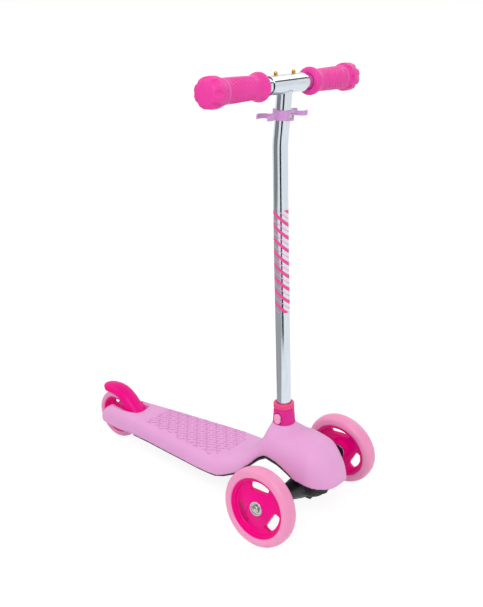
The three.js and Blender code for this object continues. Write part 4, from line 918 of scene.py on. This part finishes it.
# Stem and T bar. The stem bends a little forward near the top; its graphic is a plain set of bars.
stemShape = {"radius": 11, "wall": 1.5, "bottom": 106, "top": 652, "step": 9,
             "spine": [(106, 156.95), (176, 156.95), (304, 156.28), (464, 154.95), (560, 154.95),
                       (588.3, 157.88), (645, 163.75)]}
barShape = {"x": 163.75, "z": 645, "teeRadius": 12.7, "teeBore": 11.5, "teeHalf": 37.5, "tubeRadius": 11.1,
            "tubeBore": 9.8, "tubeStart": 6, "tubeEnd": 156.7, "chamfer": 0.3, "buttonHole": 2.9,
            "buttonY": 20, "bead": 0.9, "beadSteps": 72}
acrossBar = {side: shift(barShape["x"], 0, barShape["z"]) @ turned(-90 * side, "X") for side in (-1, 1)}
clipShape = {"z": 605, "x": 159.6, "lean": 5.91, "bandBore": 11.3, "band": 14, "height": 13, "jawBore": 9.6,
             "jawWall": 2.4, "jawHeight": 6.4, "jawOffset": 38, "opening": 50, "faceStart": 6,
             "faceReach": 15.2, "faceWidth": 12, "headSeat": 4, "headDepth": 1.6, "screwBore": 2}
onClip = shift(clipShape["x"], 0, clipShape["z"]) @ turned(clipShape["lean"], "Y")


def makeStem():
    shape = stemShape
    count = round((shape["top"] - shape["bottom"]) / shape["step"])
    heights = [shape["bottom"] + (shape["top"] - shape["bottom"]) * step / count for step in range(count + 1)]
    inner = shape["radius"] - shape["wall"]
    outline = [(shape["radius"], z) for z in heights] + [(inner, z) for z in reversed(heights)]
    stem = turnPiece("stem", outline, 64)
    for vertex in stem.data.vertices:
        vertex.co.x += between(shape["spine"], vertex.co.z * 1000)[0] / 1000
    cope = seatPiece(rodPiece("cope", barShape["teeRadius"] + 0.3, -40, 40), acrossBar[-1])
    above = blockPiece("above", (120, -30, barShape["z"]), (200, 30, barShape["z"] + 40))
    plunger = seatPiece(rodPiece("plunger_bore", buttonShape["plunger"] + 0.3, 0, 14, 32), acrossRight)
    screw = seatPiece(rodPiece("screw_bore", clipShape["screwBore"], 0, 14, 24), onClip @ turned(90, "Y"))
    combine(stem, [cope, above, plunger, screw])
    return smoothPiece(tidyNormals(stem), 35)


def makeTube(name, outer, inner, start, end, seat, holes):
    edge = barShape["chamfer"]
    tube = turnPiece(name, [(inner, start), (outer - edge, start), (outer, start + edge), (outer, end - edge),
                            (outer - edge, end), (inner, end)], 64)
    seatPiece(tube, seat)
    combine(tube, [seatPiece(rodPiece("button_hole", barShape["buttonHole"], 0, 20, 32),
                             shift(barShape["x"], place, barShape["z"])) for place in holes])
    return smoothPiece(tidyNormals(tube), 30)


# The weld follows the line where the two tubes meet.
def makeWeld():
    run = []
    for number in range(barShape["beadSteps"]):
        angle = 2 * math.pi * number / barShape["beadSteps"]
        x, y = stemShape["radius"] * math.cos(angle), stemShape["radius"] * math.sin(angle)
        z = barShape["z"] - math.sqrt(barShape["teeRadius"] ** 2 - x ** 2)
        run.append((between(stemShape["spine"], z)[0] + x, y, z))
    return smoothPiece(beadPiece("tee_weld", [run], barShape["bead"], 3, True), 60)


buttonY = barShape["buttonY"]
finishPiece(makeStem(), "stem", "chrome", "stem_tube")
tee = makeTube("tee", barShape["teeRadius"], barShape["teeBore"], -barShape["teeHalf"], barShape["teeHalf"],
               acrossBar[-1], (-buttonY, buttonY))
finishPiece(tee, "barChrome", "chrome", "t_crossbar")
finishPiece(makeWeld(), "barChrome", "chrome")
for side, word in ((-1, "right"), (1, "left")):
    handle = makeTube(f"handle_tube_{word}", barShape["tubeRadius"], barShape["tubeBore"],
                      barShape["tubeStart"], barShape["tubeEnd"], acrossBar[side], (side * buttonY,))
    finishPiece(handle, "barChrome", "chrome", f"handlebar_tube_{word}")
print("tubes made")


# Snap buttons: brass domes on a flange.
snapShape = {"radius": 2.6, "flange": 4, "flangeBottom": 7.45, "flangeTop": 8.65, "tip": 17.7, "dome": 2.2}
for side, word in ((-1, "right"), (1, "left")):
    snap = snapShape
    flange = [(0, snap["flangeBottom"]), (snap["flange"], snap["flangeBottom"]),
              (snap["flange"], snap["flangeTop"]), (snap["radius"], snap["flangeTop"])]
    crown = dome(snap["radius"], snap["tip"] - snap["dome"], snap["dome"])
    button = turnPiece(f"snap_dome_{word}", flange + crown, 32)
    seatPiece(button, shift(barShape["x"], side * buttonY, barShape["z"]))
    finishPiece(smoothPiece(button, 40), "brass", "brass", f"snap_button_{word}")
print("snap buttons made")


# Grips: an inner flange, a waisted body with slanting ridges, a pale ring and a lobed bulb. The profile
# gives radii along the grip; between two radii under the waist's limit it is cut into fine steps.
gripShape = {
    "start": 52, "length": 111, "bore": 11.4, "boreEnd": 105, "steps": 96, "fineStep": 1.3, "fineUnder": 17,
    "ridgeDepth": 1, "ridgePitch": 7.2, "ridgeFrom": 20, "ridgeTo": 73, "ridgeFade": 6, "ridgeSlant": 13,
    "fieldEdge": 0.25, "fieldGain": 1.6, "lobes": 8, "ringFrom": 77.6, "ringTo": 82.4, "groove": 14.6,
    "profile": [(0, 16.4), (0.7, 17.7), (2.4, 18.8), (5, 19.2), (8, 18.9), (10.6, 17.9), (13.2, 16.7),
                (16.5, 15.8), (21, 15.4), (40, 15.8), (60, 16.2), (74, 16.3), (77.4, 16.2), (77.6, 14.6),
                (82.4, 14.6), (82.6, 16.6), (84.5, 17.4), (86.5, 18.6), (89, 19.6), (92, 19.95), (96, 19.99),
                (101, 19.95), (104.6, 19.5), (107.4, 18.4), (109.4, 17), (110.5, 14.5), (110.9, 11),
                (110.98, 6)],
}
# A pocket and a tilted scallop between two lobes of the bulb.
scallopShape = {"pocketLow": (17.4, -3.1, 80), "pocketHigh": (24, 3.1, 90.4), "pocketRound": 1.4,
                "radius": 5.4, "length": 18, "round": 2.2, "reach": 23.9, "start": 97, "tilt": -13}


def gripOutline():
    shape = gripShape
    profile, limit, margin = shape["profile"], shape["fineUnder"], 0.1
    places = []
    for (here, hereRadius), (there, thereRadius) in zip(profile, profile[1:]):
        fine = hereRadius < limit or thereRadius < limit
        steps = max(1, round((there - here) / shape["fineStep"])) if fine else 2
        places += [here + (there - here) * step / steps for step in range(steps)]
    radius = {place: between(profile, place)[0] for place in places}
    inner = [(radius[place], place) for place in places if place <= shape["ringFrom"] - margin]
    outer = [(radius[place], place) for place in places if place >= shape["ringTo"] + margin]
    groove = [(shape["groove"], shape["ringFrom"]), (shape["groove"], shape["ringTo"])]
    end = [(0, shape["length"]), (0, shape["boreEnd"]), (shape["bore"], shape["boreEnd"])]
    return [(shape["bore"], 0)] + inner + groove + outer + end


# Slanting ridges in four fields round the body, which fade at each end.
def raiseRidges(grip):
    shape = gripShape
    low, high, fade, edge = pick(shape, "ridgeFrom ridgeTo ridgeFade fieldEdge")
    for vertex in grip.data.vertices:
        place, radius = vertex.co.z * 1000, math.hypot(vertex.co.x, vertex.co.y) * 1000
        if not low < place < high or radius < shape["groove"] - 0.6:
            continue
        angle = math.atan2(vertex.co.y, vertex.co.x)
        field = max(0, math.cos(2 * angle - math.pi / 2) ** 2 - edge) / (1 - edge)
        ends = min(1, (place - low) / fade, (high - place) / fade)
        turns = (place - shape["ridgeSlant"] * abs(angle)) / shape["ridgePitch"]
        wave = max(0, math.cos(2 * math.pi * turns))
        growth = 1 + shape["ridgeDepth"] * min(1, shape["fieldGain"] * field) * ends * wave / radius
        vertex.co.x *= growth
        vertex.co.y *= growth


def makeGrip(name):
    shape = scallopShape
    grip = turnPiece(name, gripOutline(), gripShape["steps"])
    raiseRidges(grip)
    cutters = []
    for lobe in range(gripShape["lobes"]):
        turn = turned(360 * lobe / gripShape["lobes"], "Z")
        pocket = blockPiece("pocket", shape["pocketLow"], shape["pocketHigh"])
        roundEdges(pocket, shape["pocketRound"], 3, 50)
        seatPiece(pocket, turn)
        scallop = rodPiece("scallop", shape["radius"], 0, shape["length"], 28)
        roundEdges(scallop, shape["round"], 4, 50)
        seatPiece(scallop, turn @ shift(shape["reach"], 0, shape["start"]) @ turned(shape["tilt"], "Y"))
        cutters += [pocket, scallop]
    activate(cutters[0])
    for cutter in cutters:
        cutter.select_set(True)
    bpy.ops.object.join()
    combine(grip, [bpy.context.object])
    return smoothPiece(roundEdges(grip, 0.5, 2, 42), 60)


# Half of the pale ring's section, from its inner edge to its middle, then the other half mirrored.
def ringOutline():
    low, high = gripShape["ringFrom"] + 0.2, gripShape["ringTo"] - 0.2
    rises = [(14.7, 0), (16.6, 0), (16.9, 0.7)]
    return ([(radius, low + rise) for radius, rise in rises] + [(17, (low + high) / 2)]
            + [(radius, high - rise) for radius, rise in reversed(rises)])


gripMaster = makeGrip("grip_master")
for side, word in ((-1, "right"), (1, "left")):
    seat = acrossBar[side] @ shift(0, 0, gripShape["start"])
    grip = seatPiece(copyPiece(gripMaster, f"grip_sleeve_{word}"), seat)
    finishPiece(grip, "grip", "grip_pink", f"grip_{word}")
    ring = seatPiece(turnPiece(f"grip_ring_{word}", ringOutline(), 72), seat)
    finishPiece(smoothPiece(ring, 50), "gripRing", "grip_pink")
bpy.data.objects.remove(gripMaster)
print("grips made")


# Storage clip: a band with a flat face for its screw, and an open jaw on either side.
def makeJaw(side):
    shape = clipShape
    bore, outer, half = shape["jawBore"], shape["jawBore"] + shape["jawWall"], shape["jawHeight"] / 2
    jaw = turnPiece("jaw", [(bore, -half), (outer, -half), (outer, half), (bore, half)], 64)
    spread, far = math.radians(shape["opening"]), 2.2 * outer
    across, away = far * math.sin(spread), side * far * math.cos(spread)
    combine(jaw, [platePiece("mouth", [(0, 0), (across, away), (-across, away)], -10, 10)])
    return seatPiece(jaw, shift(0, side * shape["jawOffset"], 0))


def makeClip():
    shape = clipShape
    half, faceHalf, jawHalf = shape["height"] / 2, shape["faceWidth"] / 2, shape["jawHeight"] / 2
    wall, face = shape["jawWall"], shape["faceReach"]
    reach = shape["jawOffset"] - shape["jawBore"] - wall / 2
    band = rodPiece("clip_band", shape["band"], -half, half, 72)
    screwFace = blockPiece("screw_face", (shape["faceStart"], -faceHalf, -half), (face, faceHalf, half))
    arm = blockPiece("arm", (-wall, -reach, -jawHalf), (wall, reach, jawHalf))
    combine(band, [screwFace, arm, makeJaw(-1), makeJaw(1)], "UNION")
    head = rodPiece("head_seat", shape["headSeat"], face - shape["headDepth"], face + 4, 32)
    bore = rodPiece("screw_bore", shape["screwBore"], 8, face + 4, 24)
    for cutter in (head, bore):
        seatPiece(cutter, turned(90, "Y"))
    combine(band, [rodPiece("stem_room", shape["bandBore"], -20, 20, 72), head, bore])
    return smoothPiece(seatPiece(roundEdges(band, 0.9, 3, 45), onClip), 45)


# The screw's seat lies below the clip's flat face; its head has a low dome and a cross of two slots.
screwShape = {"seatDepth": 1.3, "head": 3.6, "shank": 1.7, "tip": 7.5, "chamfer": 0.1, "chamferLength": 0.5,
              "rim": 0.6, "dome": 1.2, "slotHalfLength": 2.4, "slotHalfWidth": 0.5, "slotFloor": 0.9}


def makeClipScrew():
    shape = screwShape
    seat = clipShape["faceReach"] - shape["seatDepth"]
    head, shank, tip, length, width = pick(shape, "head shank tip slotHalfLength slotHalfWidth")
    stalk = [(0, tip), (shank - shape["chamfer"], tip), (shank, tip + shape["chamferLength"]), (shank, seat)]
    crown = dome(head, seat + shape["rim"], shape["dome"])
    screw = turnPiece("clip_screw_piece", stalk + [(head, seat)] + crown, 36)
    low, high = seat + shape["slotFloor"], seat + 3
    combine(screw, [blockPiece("slot_a", (-length, -width, low), (length, width, high)),
                    blockPiece("slot_b", (-width, -length, low), (width, length, high))])
    return smoothPiece(seatPiece(screw, onClip @ turned(90, "Y")), 35)


finishPiece(makeClip(), "clip", "clip_lilac", "storage_clip")
finishPiece(makeClipScrew(), "steel", "steel", "clip_screw")
print("clip made")


# Under cover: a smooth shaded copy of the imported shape.
finishPiece(smoothNode("under_cover", 30), "black", "black_plastic", "under_cover")

# Truck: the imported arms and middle, with a round pot for its toe and a cup for the centring rubber.
potShape = {"x": 210.75, "bottom": 37.8, "top": 54, "radius": 19.4, "round": 5.4, "draft": 0.8,
            "toeFrom": 213, "toeTo": 245, "toeHalf": 12, "cupX": 226.75, "cupRadius": 9.6, "cupBore": 8.2,
            "cupFrom": 45, "cupFloor": 51.7}


def makeTruck():
    pot = potShape
    bottom, top, radius, rounding = pick(pot, "bottom top radius round")
    truck = smoothNode("truck", 40)
    combine(truck, [blockPiece("toe", (pot["toeFrom"], -pot["toeHalf"], 20),
                               (pot["toeTo"], pot["toeHalf"], top + 0.2))])
    lower = arc(radius - rounding, bottom + rounding, rounding, -90, 0, 8)
    body = turnPiece("pot", [(0, bottom)] + lower + [(radius - pot["draft"], top), (0, top)], 72)
    seatPiece(body, shift(pot["x"], 0, 0))
    cup = rodPiece("cup", pot["cupRadius"], pot["cupFrom"], top + 0.3, 40)
    hole = rodPiece("cup_bore", pot["cupBore"], pot["cupFloor"], 90, 40)
    for part in (cup, hole):
        seatPiece(part, shift(pot["cupX"], 0, 0))
    bushRoom = smoothNode("kingpin_bush_lower", 40)
    combine(truck, [body, cup], "UNION")
    combine(truck, [hole, bushRoom])
    return smoothPiece(truck, 40)


finishPiece(makeTruck(), "black", "black_plastic", "truck")
print("under side made")


# Stage: a pale floor, soft lamps, and dark flags that only the bright tubes see. Sizes here are metres.
# A lamp has its place, size and power. A flag has its middle, size, what it faces and its tone.
stageLook = {"floorTone": (236, 236, 238), "floorSize": 30, "floorShare": 0.7, "floorGlow": 1.22,
             "floorRoughness": 0.9, "floorSpecular": 0.1, "worldLevel": 0.62, "lampTarget": (0, 0, 0.3),
             "lamps": [((1.6, -1.9, 2.3), 1.8, 36), ((-1.8, -1.2, 1.9), 2.0, 14), ((0.4, 2.2, 1.8), 1.8, 10)],
             "flags": [((1.22, -1.4, 0.8), (0.75, 1.6), (0.16, 0, 0.8), 0.01),
                       ((-1.1, -1.6, 1.1), (2.8, 2.2), (0.16, 0, 1.1), 0.28),
                       ((1.1, 1.7, 1.62), (3, 0.34), (0.16, 0, 0.645), 0.01)]}
# Low flags lie on the floor: where they start and end from the stem, their bearing, width and tone.
lowFlagLook = [(0.22, 2.6, -150, 2.6, 0.46), (0.7, 1.8, -53.2, 0.5, 0.06)]
cameraShape = {"place": (0.835811, -0.906777, 0.725162), "right": (0.772698, 0.634252, -0.025722),
               "up": (-0.188001, 0.267365, 0.945078), "lens": 48.497, "sensor": 36, "far": 50}


# Has the tree's output mix two shaders by a share.
def mixToOutput(tree, output, share, below, above):
    mix = addShader(tree, "MixShader", {"Fac": share, 1: below, 2: above})
    feed(tree, tree.nodes[output], {"Surface": mix.outputs[0]})


# One for a ray that comes straight from the camera, or off a glossy or through a clear surface.
def seenRays(tree):
    rays = addShader(tree, "LightPath", {}).outputs
    seen = reckon(tree, "MAXIMUM", rays["Is Camera Ray"], rays["Is Glossy Ray"])
    return reckon(tree, "MAXIMUM", seen, rays["Is Transmission Ray"])


def makeFloor():
    clearSelection()
    bpy.ops.mesh.primitive_plane_add(size=stageLook["floorSize"])
    floor = named("floor")
    finish, tree, shader = startFinish("pale floor")
    feed(tree, shader, {"Base Color": tint(*stageLook["floorTone"]), "Roughness": stageLook["floorRoughness"],
                        "Specular IOR Level": stageLook["floorSpecular"]})
    glow = addShader(tree, "Emission", {"Strength": stageLook["floorGlow"]})
    share = reckon(tree, "MULTIPLY", seenRays(tree), stageLook["floorShare"])
    mixToOutput(tree, "Material Output", share, shader.outputs[0], glow.outputs[0])
    floor.data.materials.append(finish)


def makeWorld():
    world = bpy.data.worlds.new("studio")
    bpy.context.scene.world = world
    world.use_nodes = True
    tree = world.node_tree
    light = tree.nodes["Background"]
    feed(tree, light, {"Color": (1, 1, 1, 1), "Strength": stageLook["worldLevel"]})
    white = addShader(tree, "Background", {"Color": (1, 1, 1, 1)})
    mixToOutput(tree, "World Output", seenRays(tree), light.outputs[0], white.outputs[0])


def makeLamps():
    for place, size, power in stageLook["lamps"]:
        data = bpy.data.lights.new("soft lamp", "AREA")
        data.shape = "DISK"
        data.size = size
        data.energy = power
        lamp = linkObject("soft lamp", data)
        lamp.location = place
        aim = Vector(stageLook["lampTarget"]) - Vector(place)
        lamp.rotation_euler = aim.to_track_quat("-Z", "Y").to_euler()


def makeFlag(number, seat, tone):
    clearSelection()
    bpy.ops.mesh.primitive_plane_add(size=1)
    flag = named(f"flag_{number}")
    seatPiece(flag, seat)
    finish, tree, _ = startFinish(f"flag tone {number}")
    glow = addShader(tree, "Emission", {"Strength": tone})
    feed(tree, tree.nodes["Material Output"], {"Surface": glow.outputs[0]})
    flag.data.materials.append(finish)
    flag.visible_camera = flag.visible_diffuse = flag.visible_shadow = False
    flag.visible_transmission = flag.visible_volume_scatter = False


def makeFlags():
    for number, (place, size, target, tone) in enumerate(stageLook["flags"]):
        facing = (Vector(target) - Vector(place)).to_track_quat("Z", "Y").to_matrix().to_4x4()
        makeFlag(number, Matrix.Translation(place) @ facing @ Matrix.Diagonal((*size, 1, 1)), tone)
    foot = stemShape["spine"][0][1] / 1000
    for number, (start, end, bearing, width, tone) in enumerate(lowFlagLook):
        seat = (Matrix.Translation((foot, 0, 0.001 + 0.001 * number)) @ turned(bearing, "Z")
                @ Matrix.Translation(((start + end) / 2, 0, 0)) @ Matrix.Diagonal((end - start, width, 1, 1)))
        makeFlag(len(stageLook["flags"]) + number, seat, tone)


def addCamera():
    lens = bpy.data.cameras.new("camera")
    lens.sensor_width = cameraShape["sensor"]
    lens.sensor_fit = "AUTO"
    lens.lens = cameraShape["lens"]
    lens.clip_end = cameraShape["far"]
    camera = linkObject("camera", lens)
    right, up = Vector(cameraShape["right"]), Vector(cameraShape["up"])
    turn = Matrix((right, up, right.cross(up))).transposed().to_4x4()
    camera.matrix_world = Matrix.Translation(cameraShape["place"]) @ turn
    bpy.context.scene.camera = camera


makeFloor()
makeWorld()
makeLamps()
makeFlags()
addCamera()
bpy.context.scene.view_settings.view_transform = "Standard"
print("stage set")
